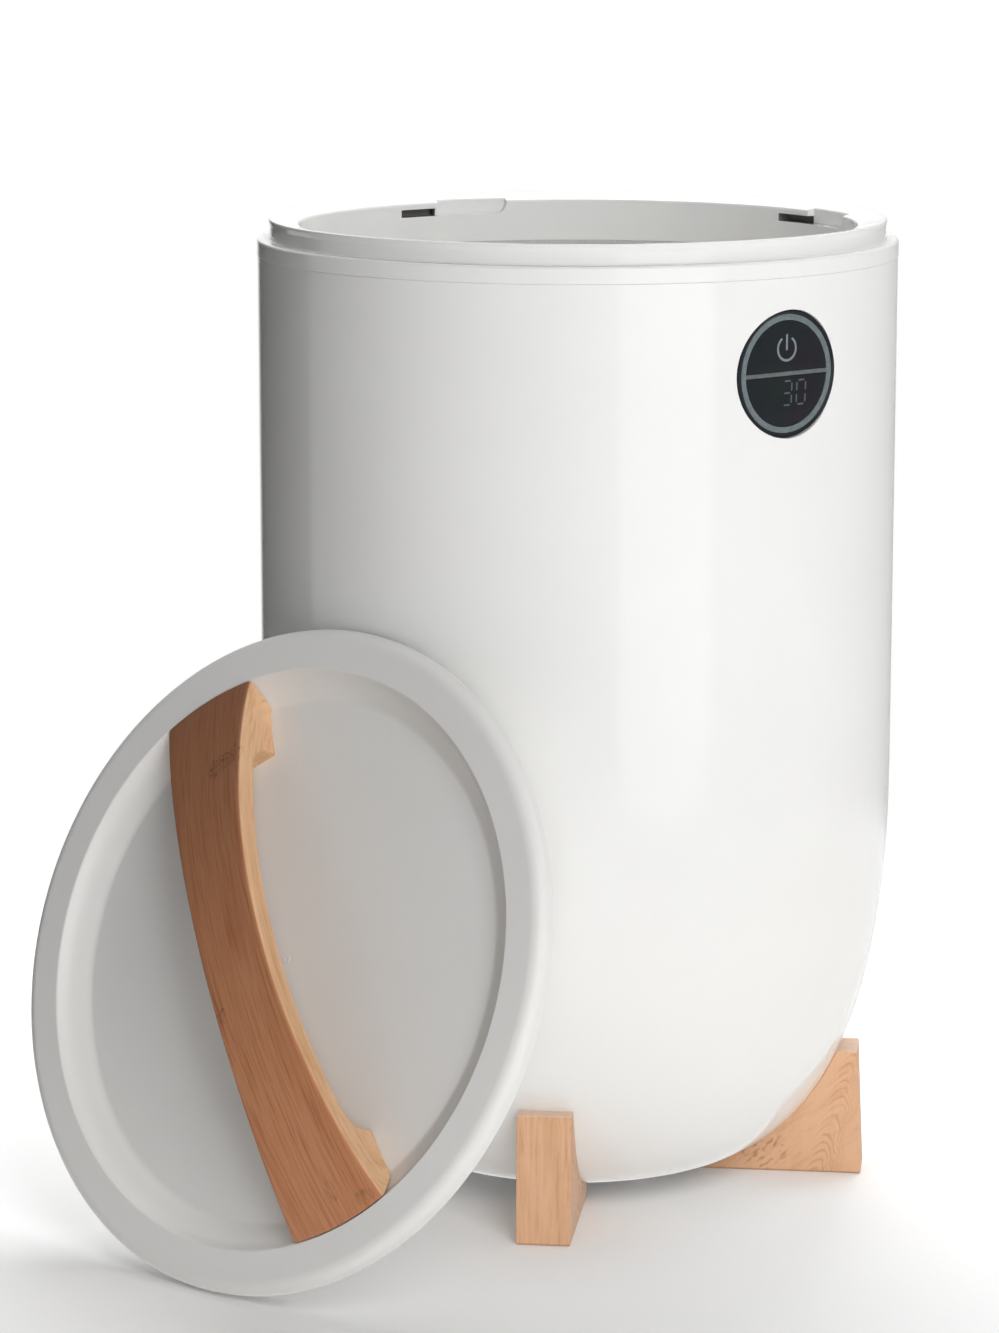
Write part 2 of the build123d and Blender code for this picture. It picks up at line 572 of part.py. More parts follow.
outside = rev([(R_DISH_FLOOR - 3.4, -DISH - 2), (R_DISH_FLOOR - 3.4, -DISH + 0.1), (R_DISH_FLOOR + 1.1, -DISH + 2.2),
               (R_DISH - 1.4, -1.4), (R_DISH - 0.3, 0.2), (R_DISH - 0.3, 60), (200, 60), (200, -DISH - 2)])
handle -= outside
for x, y in HS:
    handle -= cyl_z(x, y, 1.75, -20, -0.5)
handle = sorted(handle.solids(), key=lambda q: q.volume)[-1]
save(LID * handle, "lid_handle")
screws = []
for x, y in HS:
    screws.append(LID * (cyl_z(x, y, 1.6, -13.3, -1.0) + cyl_z(x, y, 3.2, -15.1, -13.25)).solids()[0])
save(group(screws), "handle_screws")
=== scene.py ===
import math

import bpy
import numpy as np
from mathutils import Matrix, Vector


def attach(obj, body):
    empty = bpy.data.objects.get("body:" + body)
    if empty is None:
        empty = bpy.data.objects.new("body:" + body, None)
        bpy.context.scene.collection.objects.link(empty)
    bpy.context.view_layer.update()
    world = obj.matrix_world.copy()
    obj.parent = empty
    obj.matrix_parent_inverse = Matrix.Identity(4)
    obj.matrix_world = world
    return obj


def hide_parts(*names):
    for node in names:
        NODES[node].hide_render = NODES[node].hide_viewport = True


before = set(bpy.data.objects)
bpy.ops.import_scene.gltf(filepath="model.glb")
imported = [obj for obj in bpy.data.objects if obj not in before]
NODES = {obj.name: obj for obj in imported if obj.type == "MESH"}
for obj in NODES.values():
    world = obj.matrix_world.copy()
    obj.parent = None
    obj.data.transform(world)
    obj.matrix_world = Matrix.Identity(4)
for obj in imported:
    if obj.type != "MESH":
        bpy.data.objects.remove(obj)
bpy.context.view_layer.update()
MM = 0.001
PI = math.pi

# ------------------------------------------------------------------ dimensions, millimetres
Z_SEAM, Z_RIM, Z_SHOULDER = 469.8, 488.3, 478.3
R_BODY, WALL = 160.0, 2.8
Z_PANEL = 424.2
FOOT_H, FOOT_W, FOOT_R_TOP, FOOT_R_BOT, FOOT_R_IN = 64.5, 26.6, 146.3, 149.1, 66.0
R_LID, R_DISH, R_DISH_FLOOR, DISH = 160.0, 139.6, 127.9, 11.0
HANDLE_TOP, HANDLE_END, HANDLE_HALF, HANDLE_T = 31.4, 1.4, 137.6, 11.6
HANDLE_W_MID, HANDLE_W_END = 19.0, 27.8
LID_AZ, LID_TILT, LID_OUT, LID_SIDE, LID_SPIN, LID_H = 191.2, 20.8, 229.1, 3.2, 125.1, 10.0

_az, _ti, _sp = math.radians(LID_AZ), math.radians(LID_TILT), math.radians(LID_SPIN)
lid_u = np.array([-math.sin(_az), math.cos(_az), 0.0])
lid_n = np.array([math.cos(_az) * math.cos(_ti), math.sin(_az) * math.cos(_ti), math.sin(_ti)])
lid_v = np.cross(lid_n, lid_u)
lid_x = lid_u * math.cos(_sp) + lid_v * math.sin(_sp)
lid_y = np.cross(lid_n, lid_x)
lid_c = np.array([LID_OUT * math.cos(_az) + LID_SIDE * lid_u[0], LID_OUT * math.sin(_az) + LID_SIDE * lid_u[1],
                  (LID_H - 1.0) * math.sin(_ti) + (R_LID - 1.0) * math.cos(_ti) + 1.0])
LID_M = np.stack([lid_x, lid_y, lid_n])


def lid_place(P):
    return np.asarray(P) @ LID_M + lid_c


def lid_turn(N):
    return np.asarray(N) @ LID_M


# ------------------------------------------------------------------ materials
def srgb(r, g, b):
    f = lambda c: (c / 255.0 / 12.92) if c <= 10.3 else ((c / 255.0 + 0.055) / 1.055) ** 2.4
    return (f(r), f(g), f(b), 1.0)


class Tree:
    """Small helper around one material's node tree."""

    def __init__(self, name):
        self.mat = bpy.data.materials.new(name)
        self.mat.use_nodes = True
        self.t = self.mat.node_tree
        self.t.nodes.clear()
        self.out = self.node("ShaderNodeOutputMaterial")
        self.b = self.node("ShaderNodeBsdfPrincipled")
        self.link(self.b.outputs[0], self.out.inputs["Surface"])
        self.obj = None

    def node(self, kind, **kw):
        n = self.t.nodes.new(kind)
        for k, v in kw.items():
            setattr(n, k, v)
        return n

    def link(self, a, b):
        self.t.links.new(a, b)

    def put(self, socket, value):
        if isinstance(value, bpy.types.NodeSocket):
            self.link(value, socket)
        else:
            socket.default_value = value

    def coords(self, attr=None):
        if attr:
            n = self.node("ShaderNodeAttribute")
            n.attribute_type = "GEOMETRY"
            n.attribute_name = attr
            return n.outputs["Vector"]
        if self.obj is None:
            self.obj = self.node("ShaderNodeTexCoord").outputs["Object"]
        return self.obj

    def mapping(self, vec, scale=(1, 1, 1), loc=(0, 0, 0), rot=(0, 0, 0)):
        n = self.node("ShaderNodeMapping")
        self.link(vec, n.inputs["Vector"])
        n.inputs["Scale"].default_value = scale
        n.inputs["Location"].default_value = loc
        n.inputs["Rotation"].default_value = rot
        return n.outputs["Vector"]

    def noise(self, vec, scale, detail=2.0, rough=0.5, distortion=0.0, out="Fac"):
        n = self.node("ShaderNodeTexNoise")
        n.noise_dimensions = "3D"
        self.link(vec, n.inputs["Vector"])
        n.inputs["Scale"].default_value = scale
        n.inputs["Detail"].default_value = detail
        n.inputs["Roughness"].default_value = rough
        n.inputs["Distortion"].default_value = distortion
        return n.outputs[out]

    def math(self, op, a, b=0.0, c=0.0, clamp=False):
        n = self.node("ShaderNodeMath", operation=op, use_clamp=clamp)
        self.put(n.inputs[0], a)
        self.put(n.inputs[1], b)
        if len(n.inputs) > 2:
            self.put(n.inputs[2], c)
        return n.outputs[0]

    def vmath(self, op, a, b=(0, 0, 0)):
        n = self.node("ShaderNodeVectorMath", operation=op)
        self.put(n.inputs[0], a)
        self.put(n.inputs[1], b)
        return n.outputs["Value"] if op in ("DOT_PRODUCT", "LENGTH", "DISTANCE") else n.outputs["Vector"]

    def sep(self, v):
        n = self.node("ShaderNodeSeparateXYZ")
        self.link(v, n.inputs[0])
        return n.outputs

    def comb(self, x, y, z):
        n = self.node("ShaderNodeCombineXYZ")
        for s, v in zip(n.inputs, (x, y, z)):
            self.put(s, v)
        return n.outputs[0]

    def rng(self, v, a, b, c, d, smooth=False):
        n = self.node("ShaderNodeMapRange")
        n.interpolation_type = "SMOOTHSTEP" if smooth else "LINEAR"
        self.put(n.inputs["Value"], v)
        n.inputs["From Min"].default_value = a
        n.inputs["From Max"].default_value = b
        n.inputs["To Min"].default_value = c
        n.inputs["To Max"].default_value = d
        return n.outputs["Result"]

    def ramp(self, v, stops):
        n = self.node("ShaderNodeValToRGB")
        self.put(n.inputs[0], v)
        cr = n.color_ramp
        while len(cr.elements) > 1:
            cr.elements.remove(cr.elements[-1])
        cr.elements[0].position = stops[0][0]
        cr.elements[0].color = stops[0][1]
        for p, c in stops[1:]:
            e = cr.elements.new(p)
            e.color = c
        return n.outputs["Color"]

    def mix(self, f, a, b, blend="MIX"):
        n = self.node("ShaderNodeMix")
        n.data_type = "RGBA"
        n.blend_type = blend
        self.put(n.inputs["Factor"], f)
        self.put(n.inputs["A"] if False else n.inputs[6], a)
        self.put(n.inputs[7], b)
        return n.outputs[2]

    def bump(self, height, strength, dist, normal=None):
        n = self.node("ShaderNodeBump")
        n.inputs["Strength"].default_value = strength
        n.inputs["Distance"].default_value = dist
        self.link(height, n.inputs["Height"])
        if normal is not None:
            self.link(normal, n.inputs["Normal"])
        return n.outputs["Normal"]

    def set(self, **kw):
        names = {"color": "Base Color", "rough": "Roughness", "metal": "Metallic", "normal": "Normal", "ior": "IOR",
                 "coat": "Coat Weight", "coat_rough": "Coat Roughness", "spec": "Specular IOR Level", "sheen": "Sheen Weight",
                 "sheen_rough": "Sheen Roughness", "emit": "Emission Color", "emit_s": "Emission Strength",
                 "sss": "Subsurface Weight", "sss_scale": "Subsurface Scale"}
        for k, v in kw.items():
            self.put(self.b.inputs[names[k]], v)
        return self.mat


def moulded(name, tint, rough, spread, grain, depth, coat=0.0, spec=0.5, wave=None):
    """Moulded plastic: faint flow marks in colour and gloss, fine surface texture."""
    t = Tree(name)
    v = t.coords()
    flow = t.noise(v, 9.0, 3.0, 0.55, 0.4)
    dark = tuple(c * 0.965 for c in tint[:3]) + (1.0,)
    warm = (tint[0], tint[1] * 0.992, tint[2] * 0.975, 1.0)
    base = t.mix(t.rng(flow, 0.3, 0.7, 0.0, 1.0), tint, dark)
    base = t.mix(t.rng(t.noise(v, 3.1, 1.0), 0.35, 0.65, 0.0, 0.6), base, warm)
    fine = t.noise(v, grain, 2.0, 0.6)
    r = t.rng(t.noise(v, 40.0, 2.0), 0.3, 0.7, rough - spread, rough + spread)
    height = fine if wave is None else t.math("ADD", t.math("MULTIPLY", fine, 0.15), t.noise(v, wave, 1.0))
    t.set(color=base, rough=r, normal=t.bump(height, 0.25, depth), spec=spec)
    if coat:
        t.set(coat=coat, coat_rough=0.05)
    return t.mat


def metal(name, tint, rough, brushed=True):
    t = Tree(name)
    v = t.coords()
    lines = t.noise(t.mapping(v, (900, 900, 60)), 1.0, 2.0) if brushed else t.noise(v, 260.0, 2.0)
    dark = tuple(c * 0.8 for c in tint[:3]) + (1.0,)
    t.set(color=t.mix(t.rng(lines, 0.3, 0.7, 0, 1), tint, dark), metal=1.0,
          rough=t.rng(lines, 0.2, 0.8, rough - 0.06, rough + 0.06), normal=t.bump(lines, 0.2, 0.00005))
    return t.mat


def rubbery(name, tint, rough=0.7):
    t = Tree(name)
    v = t.coords()
    n = t.noise(v, 900.0, 3.0)
    dark = tuple(c * 0.85 for c in tint[:3]) + (1.0,)
    t.set(color=t.mix(t.rng(n, 0.3, 0.7, 0, 1), tint, dark), rough=t.rng(n, 0.3, 0.7, rough - 0.08, rough + 0.08),
          normal=t.bump(n, 0.3, 0.00008))
    return t.mat


def felted(name, tint):
    t = Tree(name)
    v = t.coords()
    a = t.noise(t.mapping(v, (1, 1, 3)), 700.0, 4.0, 0.7, 1.0)
    b = t.noise(v, 90.0, 3.0)
    dark = tuple(c * 0.6 for c in tint[:3]) + (1.0,)
    t.set(color=t.mix(t.rng(t.math("ADD", t.math("MULTIPLY", a, 0.6), t.math("MULTIPLY", b, 0.4)), 0.35, 0.65, 0, 1), dark, tint),
          rough=0.95, sheen=0.3, normal=t.bump(a, 0.6, 0.0004))
    return t.mat


def boarded(name, tint):
    t = Tree(name)
    v = t.coords()
    tr = t.node("ShaderNodeTexBrick")
    t.link(t.mapping(v, (1, 1, 1)), tr.inputs["Vector"])
    tr.inputs["Scale"].default_value = 420.0
    tr.inputs["Mortar Size"].default_value = 0.03
    tr.inputs["Color1"].default_value = tint
    tr.inputs["Color2"].default_value = tuple(c * 1.25 for c in tint[:3]) + (1.0,)
    tr.inputs["Mortar"].default_value = tuple(c * 0.6 for c in tint[:3]) + (1.0,)
    n = t.noise(v, 500.0, 2.0)
    t.set(color=tr.outputs["Color"], rough=t.rng(n, 0.3, 0.7, 0.3, 0.5), normal=t.bump(n, 0.2, 0.00004))
    return t.mat


def bamboo(name, light, mid, dark, broad=None, marks=(), arch_lines=False, nicks=()):
    """Laminated bamboo. Attribute grain, in metres: x along the fibres, y across the face, z into the piece.
    Attribute tone: x is 0 on the broad face and 1 on the flanks."""
    t = Tree(name)
    v = t.coords("grain")
    x, y, z = t.sep(v)[:3]
    bend = t.noise(t.mapping(v, (7, 22, 22)), 1.0, 2.0, 0.5)
    sway = t.math("SUBTRACT", bend, 0.5)
    y2 = t.math("ADD", y, t.math("MULTIPLY", sway, 0.006))
    z2 = t.math("ADD", z, t.math("MULTIPLY", sway, 0.005))
    w = t.comb(x, y2, z2)
    wide = t.noise(t.mapping(w, (5.0, 110, 110)), 1.0, 2.0, 0.5)
    streak = t.noise(t.mapping(w, (17, 430, 430)), 1.0, 3.0, 0.6)
    line = t.noise(t.mapping(w, (26, 1050, 1050)), 1.0, 2.0, 0.6)
    fibre = t.noise(t.mapping(w, (90, 2600, 2600)), 1.0, 2.0, 0.6)
    base = t.ramp(wide, [(0.34, mid), (0.5, light), (0.66, mid)])
    deep = tuple(c_ * 0.70 for c_ in dark[:3]) + (1.0,)
    base = t.mix(t.rng(streak, 0.50, 0.70, 0.0, 0.62), base, dark)
    base = t.mix(t.rng(line, 0.58, 0.74, 0.0, 0.60), base, dark)
    base = t.mix(t.rng(fibre, 0.60, 0.80, 0.0, 0.30), base, deep)
    height = t.math("ADD", t.math("MULTIPLY", line, -0.6), t.math("MULTIPLY", fibre, -0.4))
    if broad:
        tone = t.sep(t.coords("tone"))[0]
        bl, bd, be = broad
        front = t.ramp(t.math("ADD", t.math("MULTIPLY", wide, 0.55), t.math("MULTIPLY", streak, 0.45)), [(0.36, bd), (0.50, bl), (0.64, bd)])
        front = t.mix(t.rng(streak, 0.48, 0.66, 0.0, 0.75), front, bd)
        front = t.mix(t.rng(line, 0.54, 0.72, 0.0, 0.85), front, be)
        front = t.mix(t.rng(fibre, 0.58, 0.80, 0.0, 0.45), front, be)
        # the broad face is painted darker toward the +x end of the handle: painted shade where the arch turns away from
        # the light
        front = t.mix(t.rng(x, -0.02, 0.13, 0.0, 0.42), front, be)
        painted_end_shade = t.ramp(t.rng(x, -0.14, 0.14, 0.0, 1.0), [(0.0, (0.90, 0.915, 0.92, 1)), (0.18, (0.88, 0.90, 0.905, 1)), (0.40, (0.80, 0.82, 0.82, 1)),
                                                         (0.60, (0.73, 0.745, 0.75, 1)), (0.86, (0.60, 0.635, 0.66, 1)), (1.0, (0.54, 0.58, 0.62, 1))])
        front = t.mix(1.0, front, painted_end_shade, "MULTIPLY")
        base = t.mix(t.rng(tone, 0.15, 0.75, 0.0, 1.0, True), front, base)
    if arch_lines:
        # flank of a block cut through the stalk: nested arches, and short dark nicks near the curved edge
        flank = t.rng(t.math("ABSOLUTE", y), 0.0127, 0.0130, 0.0, 1.0)
        wob = t.noise(t.mapping(v, (60, 30, 95)), 1.0, 2.0, 0.55)
        across_f = t.math("SUBTRACT", x, t.math("MULTIPLY", z, 0.8))
        along_f = t.math("ADD", z, t.math("MULTIPLY", x, 0.8))
        flow = t.noise(t.comb(t.math("MULTIPLY", across_f, 190.0), t.math("MULTIPLY", along_f, 38.0), 0.7), 1.0, 3.0, 0.6, 0.6)
        plain = t.ramp(flow, [(0.34, mid), (0.50, light), (0.62, light), (0.74, mid)])
        base = t.mix(t.math("MULTIPLY", flank, 0.78), base, plain)
        r0 = t.math("ADD", t.math("MULTIPLY", x, 0.30), 0.1268)
        dr = t.math("ADD", t.math("SUBTRACT", z, r0), t.math("MULTIPLY", t.math("SUBTRACT", wob, 0.5), 0.007))
        outer = t.math("GREATER_THAN", dr, 0.0)
        steep = t.math("ADD", 150.0, t.math("MULTIPLY", outer, 210.0))
        u = t.math("ADD", x, t.math("MULTIPLY", t.math("MULTIPLY", dr, dr), steep))
        phase = t.math("ADD", t.math("MULTIPLY", u, 1340.0), t.math("MULTIPLY", wob, 9.0))
        ridge = t.math("POWER", t.math("MAXIMUM", t.math("SINE", phase), 0.0), 1.5)
        soft = t.noise(t.comb(t.math("MULTIPLY", u, 230.0), t.math("MULTIPLY", dr, 90.0), 2.7), 1.0, 2.0)
        left_w = t.rng(t.math("ABSOLUTE", dr), 0.003, 0.0085, 1.0, 0.0, True)
        right_w = t.rng(t.math("ABSOLUTE", dr), 0.007, 0.013, 1.0, 0.0, True)
        wide_w = t.math("ADD", t.math("MULTIPLY", outer, right_w), t.math("MULTIPLY", t.math("SUBTRACT", 1.0, outer), left_w))
        near = t.math("MULTIPLY", wide_w, t.rng(soft, 0.38, 0.58, 0.10, 1.0))
        a = t.math("MULTIPLY", t.math("MULTIPLY", ridge, near), flank)
        base = t.mix(t.math("MULTIPLY", a, 0.62), base, dark)
        px, pz = t.math("SUBTRACT", x, 0.0110), t.math("SUBTRACT", z, 0.0985)
        el = t.math("ADD", t.math("POWER", t.math("DIVIDE", px, 0.013), 2.0), t.math("POWER", t.math("DIVIDE", pz, 0.015), 2.0))
        q = t.noise(t.comb(t.math("MULTIPLY", across_f, 620.0), t.math("MULTIPLY", along_f, 150.0), 1.3), 1.0, 1.0, 0.5)
        nick = t.math("MULTIPLY", t.math("MULTIPLY", t.rng(el, 0.4, 1.0, 1.0, 0.0, True), t.rng(q, 0.565, 0.62, 0.0, 1.0)), flank)
        base = t.mix(t.math("MULTIPLY", nick, 0.62), base, deep)
        # painted highlight on the top face, and painted contact shadow along the lower edge
        base = t.mix(t.rng(x, 0.06405, 0.06440, 0.0, 0.5), base, srgb(238, 220, 207))
        base = t.mix(t.rng(x, 0.0003, 0.0011, 0.65, 0.0), base, deep)
        height = t.math("SUBTRACT", height, t.math("ADD", a, nick))
    for (mx, my, half_t, rise, drop0, drop1, amount) in marks:
        # a node of the cane: dark nested loops, open toward the middle of the handle
        jit = t.noise(t.mapping(v, (120, 260, 150)), 1.0, 2.0, 0.5)
        tt = t.math("DIVIDE", t.math("SUBTRACT", my, y), half_t)
        top_s = t.math("ADD", mx, t.math("MULTIPLY", tt, rise))
        low_d = t.math("ADD", (drop0 + drop1) / 2, t.math("MULTIPLY", tt, (drop1 - drop0) / 2))
        cell = t.math("ADD", t.math("DIVIDE", y, 0.0031), t.math("MULTIPLY", jit, 2.2))
        c_ = t.math("SUBTRACT", t.math("FRACT", cell), 0.5)
        shift = t.noise(t.comb(t.math("FLOOR", cell), 0.37, 0.71), 3.1, 0.0)
        h = t.math("SUBTRACT", t.math("SUBTRACT", top_s, x), t.math("MULTIPLY", t.math("MULTIPLY", c_, c_), 0.016))
        h = t.math("ADD", h, t.math("MULTIPLY", t.math("SUBTRACT", shift, 0.5), 0.009))
        h = t.math("ADD", h, t.math("MULTIPLY", t.math("SUBTRACT", jit, 0.5), 0.004))
        wave = t.math("SINE", t.math("MULTIPLY", h, 2 * PI / 0.0034))
        loop = t.rng(wave, 0.25, 0.85, 0.0, 1.0, True)
        depth = t.math("DIVIDE", h, low_d)
        win = t.math("MULTIPLY", t.rng(depth, -0.05, 0.10, 0.0, 1.0, True), t.rng(depth, 0.55, 1.0, 1.0, 0.0, True))
        win = t.math("MULTIPLY", win, t.rng(t.math("ABSOLUTE", tt), 0.80, 1.05, 1.0, 0.0, True))
        a = t.math("MULTIPLY", t.math("MULTIPLY", win, loop), t.rng(t.noise(t.mapping(v, (200, 300, 200)), 1.0, 1.0), 0.38, 0.55, 0.35, amount))
        on_face = t.rng(t.sep(t.coords("tone"))[0], 0.30, 0.90, 1.0, 0.0, True)
        a, win = t.math("MULTIPLY", a, on_face), t.math("MULTIPLY", win, on_face)
        base = t.mix(t.math("MULTIPLY", a, 0.78), base, tuple(q_ * 0.10 for q_ in dark[:3]) + (1.0,))
        base = t.mix(t.math("MULTIPLY", win, 0.15 * amount), base, tuple(q_ * 0.25 for q_ in dark[:3]) + (1.0,))
        height = t.math("SUBTRACT", height, t.math("MULTIPLY", a, 0.8))
    for (mx, my, lx, ly) in nicks:
        ex, ey = t.math("DIVIDE", t.math("SUBTRACT", x, mx), lx), t.math("DIVIDE", t.math("SUBTRACT", y, my), ly)
        fall = t.rng(t.math("ADD", t.math("MULTIPLY", ex, ex), t.math("MULTIPLY", ey, ey)), 0.3, 1.0, 1.0, 0.0, True)
        n = t.noise(t.mapping(v, (150, 1500, 1500)), 1.0, 1.0, 0.5)
        a = t.math("MULTIPLY", fall, t.rng(n, 0.50, 0.60, 0.0, 1.0))
        base = t.mix(t.math("MULTIPLY", a, 0.7), base, tuple(c_ * 0.40 for c_ in dark[:3]) + (1.0,))
        height = t.math("SUBTRACT", height, a)
    t.set(color=base, rough=t.rng(fibre, 0.3, 0.7, 0.46, 0.60), spec=0.30, normal=t.bump(height, 0.30, 0.00010))
    return t.mat


WHITE = (0.845, 0.845, 0.835, 1.0)
M = {
    "shell": moulded("shell_gloss", WHITE, 0.075, 0.02, 1500.0, 0.000004, spec=0.5, wave=14.0),
    "lid": moulded("lid_satin", (0.80, 0.795, 0.78, 1.0), 0.36, 0.04, 2600.0, 0.00003, spec=0.45),
    "liner": moulded("liner_coating", (0.72, 0.715, 0.70, 1.0), 0.42, 0.04, 1800.0, 0.00003, spec=0.4),
    "inner_white": moulded("inner_white", (0.74, 0.735, 0.72, 1.0), 0.5, 0.05, 2200.0, 0.00004),
    "black_matte": moulded("black_matte", (0.018, 0.018, 0.020, 1.0), 0.5, 0.06, 2500.0, 0.00005),
    "black_gloss": moulded("black_gloss", (0.0060, 0.0085, 0.0115, 1.0), 0.13, 0.02, 900.0, 0.000004, spec=0.22),
    # cavity_shade is a dark material for the inside of the rim slots: painted shade
    "cavity": moulded("cavity_shade", (0.20, 0.195, 0.19, 1.0), 0.7, 0.05, 2200.0, 0.00004, spec=0.1),
    "foil": metal("foil", (0.78, 0.78, 0.80, 1.0), 0.35, False),
    "steel": metal("steel", (0.66, 0.66, 0.67, 1.0), 0.3),
    "brass": metal("brass", (0.78, 0.62, 0.32, 1.0), 0.28, False),
    "silicone": rubbery("silicone", (0.62, 0.62, 0.61, 1.0)),
    "jacket": rubbery("cable_jacket", (0.48, 0.48, 0.48, 1.0), 0.55),
    "felt": felted("felt", (0.66, 0.65, 0.62, 1.0)),
    "board": boarded("board_green", (0.02, 0.10, 0.05, 1.0)),
}
SLOT_MAT = {"shell_white": "shell", "lid_white": "lid", "liner_coated": "liner", "silicone": "silicone",
            "inner_plastic": "inner_white", "black_plastic": "black_matte", "heater_foil": "foil", "felt": "felt",
            "steel": "steel", "bamboo": "inner_white", "panel_black": "black_gloss", "panel_grey": "black_matte",
            "board_green": "board", "brass": "brass", "cable_jacket": "jacket"}
for name, o in NODES.items():
    for s in o.material_slots:
        key = s.material.name.split(".")[0] if s.material else "inner_plastic"
        s.material = M[SLOT_MAT.get(key, "inner_white")]


# ------------------------------------------------------------------ mesh helpers
class Soup:
    """Faces with their own corner normals on shared points."""

    def __init__(self):
        self.v, self.key, self.f, self.n = [], {}, [], []
        self.cur, self.m = 0, []

    def vid(self, p):
        k = (round(p[0] * 2e4), round(p[1] * 2e4), round(p[2] * 2e4))
        i = self.key.get(k)
        if i is None:
            i = self.key[k] = len(self.v)
            self.v.append((float(p[0]), float(p[1]), float(p[2])))
        return i

    def face(self, pts, nrm):
        ids, ns = [], []
        for p, n in zip(pts, nrm):
            i = self.vid(p)
            if i not in ids:
                ids.append(i)
                ns.append(n)
        if len(ids) > 2:
            wx = wy = wz = 0.0
            for k in range(len(ids)):
                a, b = self.v[ids[k - 1]], self.v[ids[k]]
                wx += (a[1] - b[1]) * (a[2] + b[2])
                wy += (a[2] - b[2]) * (a[0] + b[0])
                wz += (a[0] - b[0]) * (a[1] + b[1])
            if sum(wx * q[0] + wy * q[1] + wz * q[2] for q in ns) < 0:
                ids, ns = ids[::-1], ns[::-1]
            self.f.append(ids)
            self.m.append(self.cur)
            self.n.extend(ns)

    def grid(self, P, N, flip=False):
        rows, cols = P.shape[:2]
        for i in range(rows - 1):
            for j in range(cols - 1):
                q = [(i, j), (i, j + 1), (i + 1, j + 1), (i + 1, j)]
                if flip:
                    q = q[::-1]
                self.face([P[a] for a in q], [N[a] for a in q])

    def make(self, name, mat, place=None, turn=None, attr=None):
        v = np.array(self.v)
        n = np.array(self.n)
        if turn is not None:
            n = turn(n)
        w = place(v) if place is not None else v
        me = bpy.data.meshes.new(name)
        me.from_pydata((w * MM).tolist(), [], self.f)
        me.polygons.foreach_set("use_smooth", [True] * len(me.polygons))
        if attr is not None:
            g = np.asarray(attr(v), float) * MM
            at = me.attributes.new("grain", "FLOAT_VECTOR", "POINT")
            at.data.foreach_set("vector", g.astype(np.float32).ravel())
        n = n / np.maximum(np.linalg.norm(n, axis=1, keepdims=True), 1e-9)
        me.normals_split_custom_set(n.tolist())
        for one in (mat if isinstance(mat, (list, tuple)) else [mat]):
            me.materials.append(one)
        me.polygons.foreach_set("material_index", self.m)
        ob = bpy.data.objects.new(name, me)
        bpy.context.scene.collection.objects.link(ob)
        return ob


def auto_mesh(name, verts, faces, mat, angle=35.0, attr=None, bevel=None):
    """Mesh in millimetres with normals split by angle."""
    me = bpy.data.meshes.new(name)
    me.from_pydata((np.asarray(verts, float) * MM).tolist(), [], faces)
    me.polygons.foreach_set("use_smooth", [True] * len(me.polygons))
    if attr is not None:
        at = me.attributes.new("grain", "FLOAT_VECTOR", "POINT")
        at.data.foreach_set("vector", (np.asarray(attr, float) * MM).astype(np.float32).ravel())
    me.set_sharp_from_angle(angle=math.radians(angle))
    me.materials.append(mat)
    ob = bpy.data.objects.new(name, me)
    bpy.context.scene.collection.objects.link(ob)
    if bevel:
        m = ob.modifiers.new("edges", "BEVEL")
        m.width, m.segments, m.limit_method, m.angle_limit = bevel * MM, 3, "ANGLE", math.radians(32)
        m.harden_normals = True
        m.use_clamp_overlap = True
    return ob


def loft(loops, cap0=True, cap1=True):
    """Closed loops of equal length, joined by quads. Returns verts and faces."""
    k = len(loops[0])
    verts = [p for lp in loops for p in lp]
    faces = []
    for i in range(len(loops) - 1):
        for j in range(k):
            a, b = i * k + j, i * k + (j + 1) % k
            faces.append([a, b, b + k, a + k])
    if cap0:
        faces.append(list(range(k))[::-1])
    if cap1:
        faces.append([(len(loops) - 1) * k + j for j in range(k)])
    return verts, faces


def filleted(points, closed=False, seg=6):
    """(r, z, radius) corners to a smooth chain of (r, z, nr, nz); the outside is on the left of the way it runs reversed,
    that is the normal is the direction of travel turned a quarter clockwise."""
    P = [np.array(p[:2], float) for p in points]
    R = [p[2] if len(p) > 2 else 0.0 for p in points]
    n = len(P)
    out = []

    def unit(a):
        return a / max(np.linalg.norm(a), 1e-9)

    def nrm(d):
        return np.array([d[1], -d[0]])

    rng = range(n)
    for i in rng:
        if not closed and i in (0, n - 1):
            d = unit(P[1] - P[0]) if i == 0 else unit(P[-1] - P[-2])
            out.append((*P[i], *nrm(d)))
            continue
        a, b, c = P[(i - 1) % n], P[i], P[(i + 1) % n]
        d0, d1 = unit(b - a), unit(c - b)
        cr = d0[0] * d1[1] - d0[1] * d1[0]
        turn = math.atan2(cr, float(d0 @ d1))
        if abs(turn) < 1e-4:
            out.append((*b, *nrm(d0)))
            continue
        r = R[i]
        if r <= 0:
            out.append((*b, *nrm(d0)))
            out.append((*b, *nrm(d1)))
            continue
        cut = min(r * math.tan(abs(turn) / 2), 0.49 * np.linalg.norm(b - a), 0.49 * np.linalg.norm(c - b))
        r = cut / math.tan(abs(turn) / 2)
        p0 = b - d0 * cut
        side = 1 if turn > 0 else -1
        centre = p0 + np.array([-d0[1], d0[0]]) * r * side
        k = max(2, int(math.ceil(abs(turn) / (PI / 2) * seg)))
        for j in range(k + 1):
            t = turn * j / k
            ca, sa = math.cos(t), math.sin(t)
            rel = p0 - centre
            p = centre + np.array([rel[0] * ca - rel[1] * sa, rel[0] * sa + rel[1] * ca])
            nn = nrm(np.array([d0[0] * ca - d0[1] * sa, d0[0] * sa + d0[1] * ca]))
            out.append((*p, *nn))
    if closed:
        out.append(out[0])
    return np.array(out)


